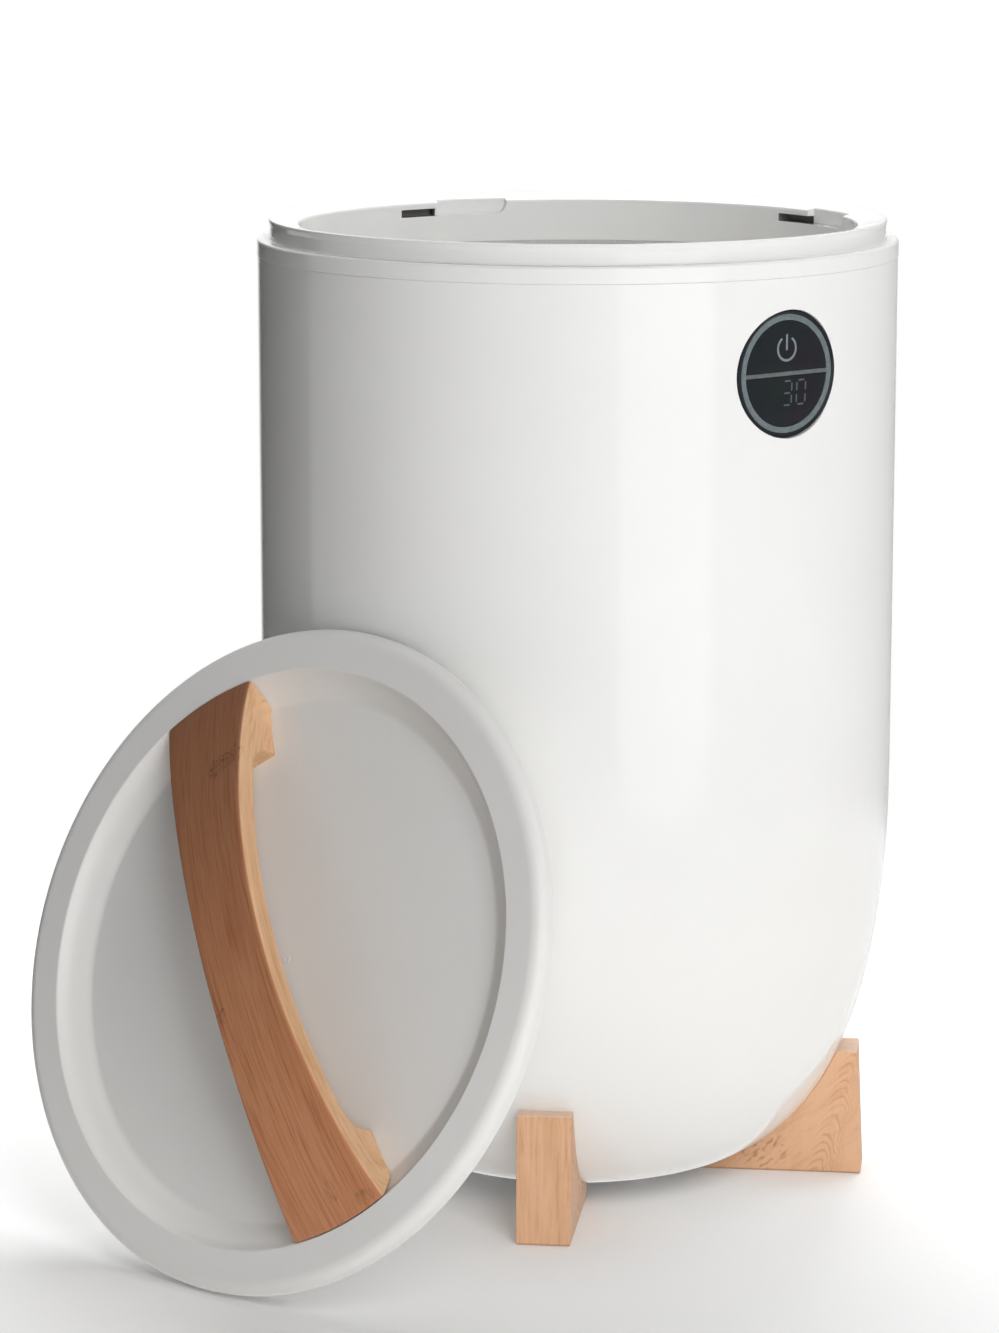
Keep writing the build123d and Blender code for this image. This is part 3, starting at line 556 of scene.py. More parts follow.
def lathe(soup, prof, n=256, a0=0.0, a1=360.0, flip=False, cols=None):
    """Turns a chain of (r, z, nr, nz) about Z."""
    az = np.radians(np.linspace(a0, a1, n + 1)) if cols is None else np.radians(np.asarray(cols, float))
    c, s = np.cos(az), np.sin(az)
    r, z, nr, nz = [prof[:, i][:, None] for i in range(4)]
    P = np.stack([r * c, r * s, z + 0 * c], -1)
    N = np.stack([nr * c, nr * s, nz + 0 * c], -1)
    soup.grid(P, N, flip)


def tri(P, N=None):
    return np.array(P, float)


def spline(points, t0, t1, per=8):
    """Clamped cubic through (r, z) points, as a chain with normals (travel turned clockwise)."""
    P = np.array(points, float)
    h = np.hypot(*np.diff(P, axis=0).T)
    n = len(P)
    A = np.zeros((n, n))
    B = np.zeros((n, 2))
    A[0, 0] = A[-1, -1] = 1
    B[0], B[-1] = np.array(t0, float), np.array(t1, float)
    for i in range(1, n - 1):
        A[i, i - 1], A[i, i], A[i, i + 1] = h[i], 2 * (h[i - 1] + h[i]), h[i - 1]
        B[i] = 3 * (h[i] / h[i - 1] * (P[i] - P[i - 1]) + h[i - 1] / h[i] * (P[i + 1] - P[i]))
    D = np.linalg.solve(A, B)
    out = []
    for i in range(n - 1):
        for j in range(per + (1 if i == n - 2 else 0)):
            t = j / per
            m0, m1 = D[i] * h[i], D[i + 1] * h[i]
            p = (2 * t ** 3 - 3 * t ** 2 + 1) * P[i] + (t ** 3 - 2 * t ** 2 + t) * m0 + (-2 * t ** 3 + 3 * t ** 2) * P[i + 1] + (t ** 3 - t ** 2) * m1
            d = (6 * t ** 2 - 6 * t) * P[i] + (3 * t ** 2 - 4 * t + 1) * m0 + (-6 * t ** 2 + 6 * t) * P[i + 1] + (3 * t ** 2 - 2 * t) * m1
            d = d / max(np.linalg.norm(d), 1e-9)
            out.append((p[0], p[1], d[1], -d[0]))
    return np.array(out)


def finish_piece(ob, body, slot, *replaced):
    if replaced:
        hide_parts(*replaced)
    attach(ob, body)
    return ob


# ------------------------------------------------------------------ outer shell
def belly_profile(k=64):
    """Superellipse belly under the straight wall, flattened into the bottom."""
    z1, rb, zb, a, b = 223.45, 50.33, 7.52, 2.6, 2.5
    out = []
    for ph in np.linspace(0.0, PI / 2, 4000):
        r = rb + (R_BODY - rb) * max(math.cos(ph), 0.0) ** (2 / a)
        z = z1 - (z1 - zb) * max(math.sin(ph), 0.0) ** (2 / b)
        h = (z - 9.0) / 2
        out.append((r, 9.0 + h + math.sqrt(h * h + 0.2)))
    P = np.array(out)[::-1]
    P = P[P[:, 0] > 54.5]
    s = np.r_[0, np.cumsum(np.hypot(*np.diff(P, axis=0).T))]
    t = np.linspace(0, s[-1], k)
    Q = np.stack([np.interp(t, s, P[:, 0]), np.interp(t, s, P[:, 1])], 1)
    D = np.gradient(Q, axis=0)
    D /= np.linalg.norm(D, axis=1, keepdims=True)
    D[-1] = (0, 1)
    D[0] = (1, D[0][1] * 0.2)
    D[0] /= np.linalg.norm(D[0])
    Q[-1, 0] = R_BODY
    return np.stack([Q[:, 0], Q[:, 1], D[:, 1], -D[:, 0]], 1)


N_AZ = 400
STEP = 360.0 / N_AZ
PATCH_ROWS = [Z_PANEL - 40.0 + 2.5 * i for i in range(33)]
belly = belly_profile()
wall_low = [(R_BODY, z, 1, 0) for z in np.linspace(belly[-1, 1], PATCH_ROWS[0], 9)[1:-1]]
wall_patch = [(R_BODY, z, 1, 0) for z in PATCH_ROWS]
top = filleted([(R_BODY, PATCH_ROWS[-1]), (R_BODY, Z_SEAM + 0.2, 0.3), (R_BODY - WALL, Z_SEAM + 0.2, 0.3), (R_BODY - WALL, PATCH_ROWS[-1])], seg=5)
inner_patch = [(R_BODY - WALL, z, -1, 0) for z in PATCH_ROWS[::-1]]
inner_low = [(R_BODY - WALL, z, -1, 0) for z in np.linspace(PATCH_ROWS[0], belly[-1, 1], 6)[1:-1]]
inner_belly = np.stack([belly[:, 0] - WALL * belly[:, 2], belly[:, 1] - WALL * belly[:, 3], -belly[:, 2], -belly[:, 3]], 1)[::-1][::2]
mouth = filleted([(54.0, 9.0 + WALL), (50.0, 9.0 + WALL, 0.5), (50.0, 9.0, 0.6), (54.5, 9.0)], seg=4)
mouth[:, 2:] = mouth[:, 2:]
prof = np.concatenate([belly, np.array(wall_low), np.array(wall_patch), top[1:-1], np.array(inner_patch), np.array(inner_low), inner_belly, mouth])
row_out = len(belly) + len(wall_low)
row_in = row_out + len(wall_patch) + len(top) - 2
az = -90.0 + STEP * (np.arange(N_AZ + 1) - N_AZ // 2)
half = 16
c0, c1 = N_AZ // 2 - half, N_AZ // 2 + half
ca, sa = np.cos(np.radians(az)), np.sin(np.radians(az))
ca[-1], sa[-1] = ca[0], sa[0]
P = np.stack([prof[:, 0][:, None] * ca, prof[:, 0][:, None] * sa, prof[:, 1][:, None] + 0 * ca], -1)
N = np.stack([prof[:, 2][:, None] * ca, prof[:, 2][:, None] * sa, prof[:, 3][:, None] + 0 * ca], -1)
soup = Soup()
for i in range(len(prof) - 1):
    in_patch = row_out <= i < row_out + 32 or row_in <= i < row_in + 32
    for j in range(N_AZ):
        if in_patch and c0 <= j < c1:
            continue
        q = [(i, j), (i, j + 1), (i + 1, j + 1), (i + 1, j)]
        soup.face([P[a] for a in q], [N[a] for a in q])
q = [(len(prof) - 1, 0), (0, 0)]
for j in range(N_AZ):
    a = [P[-1, j], P[-1, j + 1], P[0, j + 1], P[0, j]]
    soup.face(a, [(0, 0, -1)] * 4)
# round opening for the control panel, in the wall's own surface
R_HOLE = 30.65


def wall_point(s, t, r):
    a = math.radians(-90.0) + s / R_BODY
    return (r * math.cos(a), r * math.sin(a), Z_PANEL + t)


side = []
S = R_BODY * math.radians(STEP)
for j in range(32):
    side.append(((j - 16) * S, -40.0))
for j in range(32):
    side.append((16 * S, -40.0 + 2.5 * j))
for j in range(32):
    side.append(((16 - j) * S, 40.0))
for j in range(32):
    side.append((-16 * S, 40.0 - 2.5 * j))
for r, sign in ((R_BODY, 1), (R_BODY - WALL, -1)):
    rings = []
    for f in (0.0, 0.18, 0.38, 0.6, 0.8, 0.93, 1.0):
        ring_pts = []
        for (s_, t_) in side:
            th = math.atan2(t_, s_)
            R_in = R_HOLE + (0.25 if sign > 0 else 0.0)
            hx, hz = R_in * math.cos(th), R_in * math.sin(th)
            hs = R_BODY * math.asin(hx / r)
            e = f
            ring_pts.append(((1 - e) * s_ + e * hs, (1 - e) * t_ + e * hz))
        rings.append(ring_pts)
    k = len(side)
    for i in range(len(rings) - 1):
        for j in range(k):
            c = [rings[i][j], rings[i][(j + 1) % k], rings[i + 1][(j + 1) % k], rings[i + 1][j]]
            pts = [wall_point(s_, t_, r) for s_, t_ in c]
            nn = [(sign * p[0], sign * p[1], 0) for p in pts]
            if sign < 0:
                pts, nn = pts[::-1], nn[::-1]
            soup.face(pts, nn)
    if sign > 0:
        outer_ring = [wall_point(s_, t_, r) for s_, t_ in rings[-1]]
    else:
        inner_ring = [wall_point(s_, t_, r) for s_, t_ in rings[-1]]
k = len(side)
for j in range(k):
    a, b = outer_ring[j], outer_ring[(j + 1) % k]
    ia, ib = inner_ring[j], inner_ring[(j + 1) % k]

    def lip(p, q_):
        return (q_[0], p[1] + 0.25, q_[2])

    la, lb = lip(a, ia), lip(b, ib)
    na = np.array([-(ia[0]), 0, -(ia[2] - Z_PANEL)]) / R_HOLE
    nb = np.array([-(ib[0]), 0, -(ib[2] - Z_PANEL)]) / R_HOLE
    fa = np.array([a[0], a[1], 0]) / R_BODY
    fb = np.array([b[0], b[1], 0]) / R_BODY
    soup.face([a, b, lb, la], [fa, fb, nb, na])
    soup.face([la, lb, ib, ia], [na, nb, nb, na])
shell = soup.make("shell_wall", M["shell"])
finish_piece(shell, "bucket", "shell_white", "outer_shell")


# boss at the back for the mains inlet, with its opening
def rrect(hx, hz, rad, k=6):
    pts = []
    for cx, cz, a0 in ((hx - rad, hz - rad, 0), (-hx + rad, hz - rad, 90), (-hx + rad, -hz + rad, 180), (hx - rad, -hz + rad, 270)):
        for j in range(k + 1):
            a = math.radians(a0 + 90.0 * j / k)
            pts.append((cx + rad * math.cos(a), cz + rad * math.sin(a)))
    return pts


def boss_loop(hx, hz, rad, y, zc=51.5):
    return [(x, y, zc + z) for x, z in rrect(hx, hz, rad)]


loops = [boss_loop(17.0, 14.5, 3.0, 110.0), boss_loop(17.0, 14.5, 3.0, 136.4)]
for j in range(1, 6):
    a = j / 5 * PI / 2
    loops.append(boss_loop(17.0 - 1.6 * (1 - math.cos(a)), 14.5 - 1.6 * (1 - math.cos(a)), 3.0, 136.4 + 1.6 * math.sin(a)))
loops.append(boss_loop(12.5, 9.3, 1.2, 138.0))
loops.append(boss_loop(12.3, 9.1, 1.0, 137.8))
loops.append(boss_loop(12.3, 9.1, 1.0, 125.0))
v, f = loft(loops, True, False)
boss = auto_mesh("shell_boss", v, f, M["shell"], 40)
finish_piece(boss, "bucket", "shell_white", "outer_shell")

# ------------------------------------------------------------------ rim collar with bayonet entries
outer_c = [(157.0, 463.4), (157.0, 470.07, 0.15), (160.2, 470.07, 0.30), (160.2, Z_SHOULDER, 1.35), (153.75, Z_SHOULDER + 0.1, 0.9),
           (153.75, 484.6, 3.0), (154.35, 487.2, 0.9), (154.0, 488.3, 0.75), (151.6, 488.15, 0.9)]
bore_a = [(139.95, 485.35, 0.7), (139.5, 484.3, 0.5), (139.5, 464.05)]
zone_a = filleted(outer_c + bore_a, seg=6)
FUN = lambda r: 485.35 + (r - 139.95) * (488.15 - 485.35) / (151.6 - 139.95)
zone_b = filleted(outer_c + [(144.0, FUN(144.0), 0.35), (143.5, 485.6, 0.0), (143.5, 478.3), (139.5, 478.3), (139.5, 464.05)], seg=6)
zone_c = filleted(outer_c + bore_a[:1] + [(139.5, 484.3, 0.5), (139.5, 482.3), (147.0, 482.3), (147.0, 478.3), (139.5, 478.3), (139.5, 464.05)], seg=6)
soup = Soup()
SLOT, HALF, ENTRY = 87.35, 4.85, 16.0
zones = []
for k in range(4):
    base = SLOT + 90.0 * k
    e0, e1, s1 = base - HALF - ENTRY, base - HALF, base + HALF
    nxt = base + 90.0 - HALF - ENTRY
    zones += [("b", e0, e1), ("c", e1, s1), ("a", s1, nxt)]
PR = {"a": zone_a, "b": zone_b, "c": zone_c}
CORNER, Z_END = 5.9, 484.2
SWEEP = math.degrees(CORNER / 139.5)


def entry_chain(zf_):
    return filleted(outer_c + [(144.0, FUN(144.0), 0.35), (143.5, 485.6, 0.0), (143.5, zf_), (139.5, zf_), (139.5, 464.05)], seg=6)


for kind, a0, a1 in zones:
    if kind == "b":
        # the entry's floor rises in a quarter circle at the end away from the slot
        steps = 14
        chains, angles = [], []
        for j in range(steps + 1):
            u = 1.0 - math.cos(PI / 2 * j / steps)
            angles.append(a0 + SWEEP * u)
            chains.append(entry_chain(Z_END - CORNER * math.sqrt(max(1.0 - (1.0 - u) ** 2, 0.0))))
        A = np.radians(np.array(angles))[None, :]
        C = np.stack(chains, 1)
        P_ = np.stack([C[:, :, 0] * np.cos(A), C[:, :, 0] * np.sin(A), C[:, :, 1]], -1)
        N_ = np.stack([C[:, :, 2] * np.cos(A), C[:, :, 2] * np.sin(A), C[:, :, 3]], -1)
        # the rising floor's own normals lean along the wall
        for i in range(C.shape[0]):
            for j in range(steps + 1):
                if abs(C[i, j, 3] - 1.0) < 1e-6 and 139.4 < C[i, j, 0] < 143.6 and C[i, j, 1] < 484.3:
                    u = 1.0 - math.cos(PI / 2 * j / steps)
                    lean = 1.0 - u
                    up_n = math.sqrt(max(1.0 - lean * lean, 0.0))
                    N_[i, j] = (-math.sin(A[0, j]) * lean, math.cos(A[0, j]) * lean, up_n)
        soup.grid(P_, N_, True)
        lathe(soup, PR[kind], n=12, a0=a0 + SWEEP, a1=a1, flip=True)
        continue
    if kind == "c":
        ring_c = PR[kind]
        hid = [i for i in range(len(ring_c) - 1) if min(ring_c[i, 0], ring_c[i + 1, 0]) > 139.4 and max(ring_c[i, 0], ring_c[i + 1, 0]) > 139.8
               and 478.2 < min(ring_c[i, 1], ring_c[i + 1, 1]) and max(ring_c[i, 1], ring_c[i + 1, 1]) < 482.4 and ring_c[i, 0] < 147.1]
        lo_i, hi_i = min(hid), max(hid) + 1
        lathe(soup, ring_c[:lo_i + 1], n=10, a0=a0, a1=a1, flip=True)
        # the slot's inner faces take the dark cavity material: painted shade
        soup.cur = 1
        lathe(soup, ring_c[lo_i:hi_i + 1], n=10, a0=a0, a1=a1, flip=True)
        soup.cur = 0
        lathe(soup, ring_c[hi_i:], n=10, a0=a0, a1=a1, flip=True)
        continue
    lathe(soup, PR[kind], n=max(2, int(round((a1 - a0) / 1.0))), a0=a0, a1=a1, flip=True)


def cap(poly, azm, towards):
    """Flat end wall in the radial plane at azm; towards is +1 for a normal along growing azimuth."""
    a = math.radians(azm)
    n = (-math.sin(a) * towards, math.cos(a) * towards, 0)
    pts = [(r * math.cos(a), r * math.sin(a), z) for r, z in poly]
    soup.face(pts, [n] * len(pts))


bore_pts = [(p[0], p[1]) for p in zone_a if p[0] < 144.2 and p[1] > 464.06]
pocket = [(143.5, Z_END), (143.5, 485.6), (144.0, FUN(144.0))] + [(p[0], p[1]) for p in zone_a if p[0] < 143.9 and p[1] > Z_END + 0.02] + [(139.5, Z_END)]
slot = [(147.0, 482.3), (147.0, 478.3), (139.5, 478.3), (139.5, 482.3)]
slot_out = [(147.0, 482.3), (147.0, 478.3), (143.5, 478.3), (143.5, 482.3)]
lip_over = [(143.5, 482.3), (143.5, 485.6), (144.0, FUN(144.0))] + [(p[0], p[1]) for p in zone_a if p[0] < 143.9 and p[1] > 482.4] + [(139.5, 482.3)]
for kind, a0, a1 in zones:
    if kind == "b":
        cap(pocket, a0, 1)
        # the slot's end walls take the dark cavity material too: painted shade
        soup.cur = 1
        cap(slot_out, a1, -1)
        soup.cur = 0
        cap(lip_over, a1, -1)
    if kind == "c":
        soup.cur = 1
        cap(slot, a1, -1)
        soup.cur = 0
collar = soup.make("rim_ring", [M["shell"], M["cavity"]])
finish_piece(collar, "bucket", "shell_white", "rim_collar")

# ------------------------------------------------------------------ heated inner bucket
zf, rc, rb = 80.0, 30.0, 139.5
lp = [(0.0, zf), (rb, zf, rc), (rb, 462.0, 0.3), (145.9, 462.0, 0.2), (145.9, 460.95, 0.2), (140.7, 460.95, 0.2), (140.7, 78.8, rc + 1.2), (0.0, 78.8)]
ch = filleted(lp, seg=18)
ch[:, 2:] *= -1
soup = Soup()
lathe(soup, ch, n=240)
ob = soup.make("liner_bucket", M["liner"])
finish_piece(ob, "bucket", "liner_coated", "inner_liner")


# ------------------------------------------------------------------ bamboo feet
def belly_at(z):
    return float(np.interp(z, belly[:, 1], belly[:, 0]))


side_pts = [(FOOT_R_IN, 0.0), (FOOT_R_BOT, 0.0), (FOOT_R_TOP, FOOT_H)]
for z in np.linspace(FOOT_H, 9.6, 30):
    r = belly_at(z) - 0.35
    side_pts.append((math.sqrt(max(r * r - 60.0, 1.0)), z - 0.1))
side_pts.append((FOOT_R_IN, 9.3))
bam_foot = bamboo("bamboo_foot", srgb(219, 176, 141), srgb(211, 165, 129), srgb(190, 139, 101), arch_lines=True)
for tag, azf in (("front_left", 225.0), ("front_right", 315.0), ("rear_right", 45.0), ("rear_left", 135.0)):
    a = math.radians(azf)
    ax = np.array([math.cos(a), math.sin(a), 0.0])
    ay = np.array([-math.sin(a), math.cos(a), 0.0])
    n_ = len(side_pts)
    verts, grain = [], []
    for w in (-FOOT_W / 2, FOOT_W / 2):
        for r, z in side_pts:
            verts.append(ax * r + ay * w + np.array([0, 0, z]))
            grain.append((z, w, r))
    faces = [list(range(n_)), [n_ + i for i in range(n_)][::-1]]
    for i in range(n_):
        j = (i + 1) % n_
        faces.append([i, n_ + i, n_ + j, j])
    ob = auto_mesh("foot_block_" + tag, verts, faces, bam_foot, 30, grain, bevel=0.45)
    finish_piece(ob, "bucket", "bamboo", "foot_" + tag)


# ------------------------------------------------------------------ control panel
def facing(P):
    """Panel frame: x right, y up, z out of the wall, to the row frame."""
    P = np.asarray(P, float)
    return np.stack([P[:, 0], -157.6 - P[:, 2], P[:, 1] + Z_PANEL], 1)


def facing_n(N):
    N = np.asarray(N, float)
    return np.stack([N[:, 0], -N[:, 2], N[:, 1]], 1)


soup = Soup()
lathe(soup, filleted([(28.5, -2.4), (30.5, -2.4, 0.1), (30.5, 0.42, 0.6), (29.3, 0.42, 0.25), (28.5, 0.0, 0.15), (28.5, -2.4)], seg=8), n=180, flip=True)
ob = soup.make("panel_rim", M["black_gloss"], facing, facing_n)
finish_piece(ob, "bucket", "panel_black", "panel_bezel")


def half_disc(r0, y0, up, z_top, z_bot, fil, n=64):
    """Half disc with a straight edge at y0, rounded front edge. Loops from front to back."""
    def outline(inset):
        r = r0 - inset
        yy = y0 + inset
        a0 = math.asin(yy / r)
        pts = []
        for j in range(n + 1):
            a = a0 + (PI - 2 * a0) * j / n
            pts.append((r * math.cos(a), r * math.sin(a) * (1 if up else -1)))
        m = 24
        x0 = pts[-1][0]
        for j in range(1, m):
            pts.append((x0 + (pts[0][0] - x0) * j / m, yy * (1 if up else -1)))
        return pts if up else pts[::-1]
    loops = []
    for j in range(5):
        a = PI / 2 * j / 4
        loops.append([(x, y, z_top - fil * (1 - math.sin(a))) for x, y in outline(fil * (1 - math.cos(a)))])
    loops = loops[::-1]
    loops.append([(x, y, z_bot) for x, y in outline(0.0)])
    return loops


def panel_piece(name, loops, mat, angle=40.0):
    v, f = loft(loops, True, True)
    v = facing(v)
    # outward side
    ob = auto_mesh(name, v, f, mat, angle)
    return ob


glass = Tree("panel_glass")
gv = glass.coords()
gn = glass.noise(gv, 55.0, 2.0)
gc = glass.ramp(gn, [(0.32, srgb(27, 24, 30)), (0.5, srgb(22, 28, 31)), (0.68, srgb(23, 31, 32))])
glass.set(color=gc, rough=glass.rng(glass.noise(gv, 300.0, 2.0), 0.3, 0.7, 0.09, 0.15), spec=0.16,
          normal=glass.bump(glass.noise(gv, 60.0, 1.0), 0.1, 0.000004))
ob = panel_piece("power_key_cap", half_disc(25.3, 1.15, True, 0.0, -1.6, 0.22), glass.mat)
finish_piece(ob, "key", "panel_black", "power_key")
ob = panel_piece("display_glass", half_disc(25.3, 1.15, False, 0.0, -2.5, 0.22), glass.mat)
finish_piece(ob, "bucket", "panel_black", "display_window")

def band(name, ca_, cb_):
    t = Tree(name)
    rn = t.noise(t.coords(), 420.0, 3.0)
    t.set(color=t.ramp(rn, [(0.3, ca_), (0.7, cb_)]), rough=t.rng(rn, 0.3, 0.7, 0.34, 0.46), spec=0.2, normal=t.bump(rn, 0.15, 0.00002))
    return t.mat


ring_mat = band("panel_ring", srgb(97, 106, 108), srgb(112, 122, 125))
bar_mat = band("panel_divider", srgb(90, 95, 97), srgb(103, 108, 110))
soup = Soup()
lathe(soup, filleted([(25.5, -2.5), (28.4, -2.5, 0.1), (28.4, 0.06, 0.2), (25.5, 0.06, 0.2), (25.5, -2.5)], seg=5), n=180, flip=True)
ob = soup.make("panel_ring", ring_mat, facing, facing_n)
finish_piece(ob, "bucket", "panel_grey", "trim_ring")
lp = []
for z, ins in ((0.04 - 0.2, 0.0), (0.04 - 0.05, 0.05), (0.04, 0.2)):
    lp.append([(25.55 * sx, (1.0 - ins) * sy, z) for sx, sy in ((-1, -1), (1, -1), (1, 1), (-1, 1))])
lp.insert(0, [(x, y, -2.4) for x, y, _ in lp[0]])
v, f = loft(lp, True, True)
ob = auto_mesh("panel_divider", facing(v), f, bar_mat, 40)
finish_piece(ob, "bucket", "panel_grey", "trim_ring")


def stroke(path, width, z0, z1, k=6):
    """Flat raised line with round ends along a 2-D path, as lofted outline."""
    pts = [np.array(p, float) for p in path]
    left, right = [], []
    for i, p in enumerate(pts):
        d = pts[min(i + 1, len(pts) - 1)] - pts[max(i - 1, 0)]
        d /= np.linalg.norm(d)
        n = np.array([-d[1], d[0]]) * width / 2
        left.append(p + n)
        right.append(p - n)
    out = list(right)
    d = pts[-1] - pts[-2]
    a0 = math.atan2(d[1], d[0]) - PI / 2
    for j in range(1, k):
        a = a0 + PI * j / k
        out.append(pts[-1] + width / 2 * np.array([math.cos(a), math.sin(a)]))
    out += left[::-1]
    d = pts[0] - pts[1]
    a0 = math.atan2(d[1], d[0]) - PI / 2
    for j in range(1, k):
        a = a0 + PI * j / k
        out.append(pts[0] + width / 2 * np.array([math.cos(a), math.sin(a)]))
    lo = [(p[0], p[1], z0) for p in out]
    hi = [(p[0], p[1], z1) for p in out]
    return loft([lo, hi], True, True)


def glow(name, c, e):
    t = Tree(name)
    n = t.noise(t.coords(), 700.0, 2.0)
    col = t.mix(t.rng(n, 0.3, 0.7, 0, 1), c, tuple(x * 0.85 for x in c[:3]) + (1.0,))
    t.set(color=col, rough=0.35, emit=col, emit_s=e, normal=t.bump(n, 0.1, 0.00001))
    return t.mat


# the printed power symbol gets a faint emission, so it glows: painted light
mark_mat = glow("symbol_print", srgb(120, 129, 137), 0.03)
digit_mat = glow("digit_light", srgb(72, 77, 86), 0.03)
verts, faces = [], []


def add(vf):
    v, f = vf
    o = len(verts)
    verts.extend(v)
    faces.extend([[i + o for i in q] for q in f])


gap = math.radians(37)
arc = [(5.65 * math.sin(gap + (2 * PI - 2 * gap) * j / 48), 12.0 + 5.65 * math.cos(gap + (2 * PI - 2 * gap) * j / 48)) for j in range(49)]
add(stroke(arc, 1.15, -0.1, 0.045))
add(stroke([(0, 12.0 - 0.3), (0, 12.0 + 3.0), (0, 12.0 + 6.3)], 1.2, -0.1, 0.045))
ob = auto_mesh("power_symbol", facing(verts), faces, mark_mat, 40)
finish_piece(ob, "key", "panel_black")

verts, faces = [], []
SEGS = {"a": ((-1, 1), (1, 1)), "b": ((1, 1), (1, 0)), "c": ((1, 0), (1, -1)), "d": ((-1, -1), (1, -1)), "e": ((-1, -1), (-1, 0)),
        "f": ((-1, 0), (-1, 1)), "g": ((-1, 0), (1, 0))}
for cx, which in ((4.9 - 4.35, "abgcd"), (4.9 + 4.35, "abcdef")):
    for s_ in which:
        (xa, ya), (xb, yb) = SEGS[s_]
        pa = np.array([cx + xa * 2.75 + ya * 0.25, -9.3 + ya * 5.75])
        pb = np.array([cx + xb * 2.75 + yb * 0.25, -9.3 + yb * 5.75])
        d = pb - pa
        L = np.linalg.norm(d)
        pa, pb = pa + d / L * 1.25, pb - d / L * 1.25
        add(stroke([pa, (pa + pb) / 2, pb], 0.85, -0.1, 0.04, 4))
ob = auto_mesh("display_digits", facing(verts), faces, digit_mat, 40)
finish_piece(ob, "bucket", "panel_black")

# ------------------------------------------------------------------ lid
s0 = spline([(R_DISH_FLOOR - 3.0, -DISH), (R_DISH_FLOOR + 1.6, -DISH + 2.0), (R_DISH - 3.0, -3.9), (R_DISH - 0.9, -1.2), (R_DISH + 0.6, 0.0)],
            (1, 0), (1, 0), 8)
s1 = spline([(153.3, 0.0), (157.8, -1.45), (R_LID, -5.6)], (1, 0), (0, -1), 10)
t_ = 2.2
low = filleted([(R_LID, -5.6), (R_LID, -LID_H, 1.0), (R_LID - t_, -LID_H, 0.5), (R_LID - t_, -5.0, 0.8), (153.0, -t_, 1.5), (R_DISH + 2.0, -t_, 1.5),
                (R_DISH_FLOOR + 2.4, -DISH - t_, 3.0), (0.0, -DISH - t_)], seg=6)
# travel is outward on top, so the outside is on the left: the chain's normals are turned over
top_part = np.concatenate([np.array([(r, -DISH, 0, -1) for r in np.linspace(0.0, R_DISH_FLOOR - 4.0, 24)]), s0, s1, low])
top_part[:, 2:] *= -1
soup = Soup()
lathe(soup, top_part, n=300, flip=False)


def own(v):
    return v


ob = soup.make("lid_disc", M["lid"], lid_place, lid_turn)
finish_piece(ob, "lid", "lid_white", "lid_top")

# mark left by the mould's gate, a low ring in the middle of the dish
soup = Soup()
ch = filleted([(1.15, -DISH - 0.1), (1.15, -DISH + 0.42, 0.12), (1.95, -DISH + 0.42, 0.25), (1.95, -DISH - 0.1)], seg=5)
ch[:, 2:] *= -1
lathe(soup, ch, n=32, flip=False)
ob = soup.make("lid_gate_mark", M["lid"], lid_place, lid_turn)
finish_piece(ob, "lid", "lid_white")


# ------------------------------------------------------------------ lid handle
def arch(s):
    return HANDLE_END + (HANDLE_TOP - HANDLE_END) * (1 - abs(s / HANDLE_HALF) ** 2.05)


def half_w(s):
    return HANDLE_W_MID + (HANDLE_W_END - HANDLE_W_MID) * abs(s / HANDLE_HALF) ** 2.1


def circle3(a, b, c):
    A = np.array([[b[0] - a[0], b[1] - a[1]], [c[0] - a[0], c[1] - a[1]]])
    B = 0.5 * np.array([b[0] ** 2 - a[0] ** 2 + b[1] ** 2 - a[1] ** 2, c[0] ** 2 - a[0] ** 2 + c[1] ** 2 - a[1] ** 2])
    o = np.linalg.solve(A, B)
    return o, math.hypot(a[0] - o[0], a[1] - o[1])


LEG = 101.8
pa, pb, pc = (88.0, arch(88.0) - HANDLE_T), (LEG - 5.0, 3.6), (LEG - 0.8, -3.0)
cen, rad = circle3(pa, pb, pc)


def under(s):
    s = abs(s)
    if s <= 88.0:
        return arch(s) - HANDLE_T
    if s <= LEG - 0.8:
        return cen[1] + math.sqrt(max(rad ** 2 - (s - cen[0]) ** 2, 0.0))
    if s <= LEG:
        return -3.0 + (s - LEG + 0.8) / 0.8 * (-DISH + 3.0)
    return -DISH - 0.05


S_END = 139.3


def end_radius(w):
    return float(np.interp(w, [-11.1, -10.9, -8.8, -1.4, 0.2], [124.5, 124.5, 129.0, 138.2, 139.3]))


def bent(s, t, w):
    b = (abs(s) / S_END) ** 6
    e = math.sqrt(end_radius(w) ** 2 - t * t)
    return s * (1 - b) + b * s * e / S_END


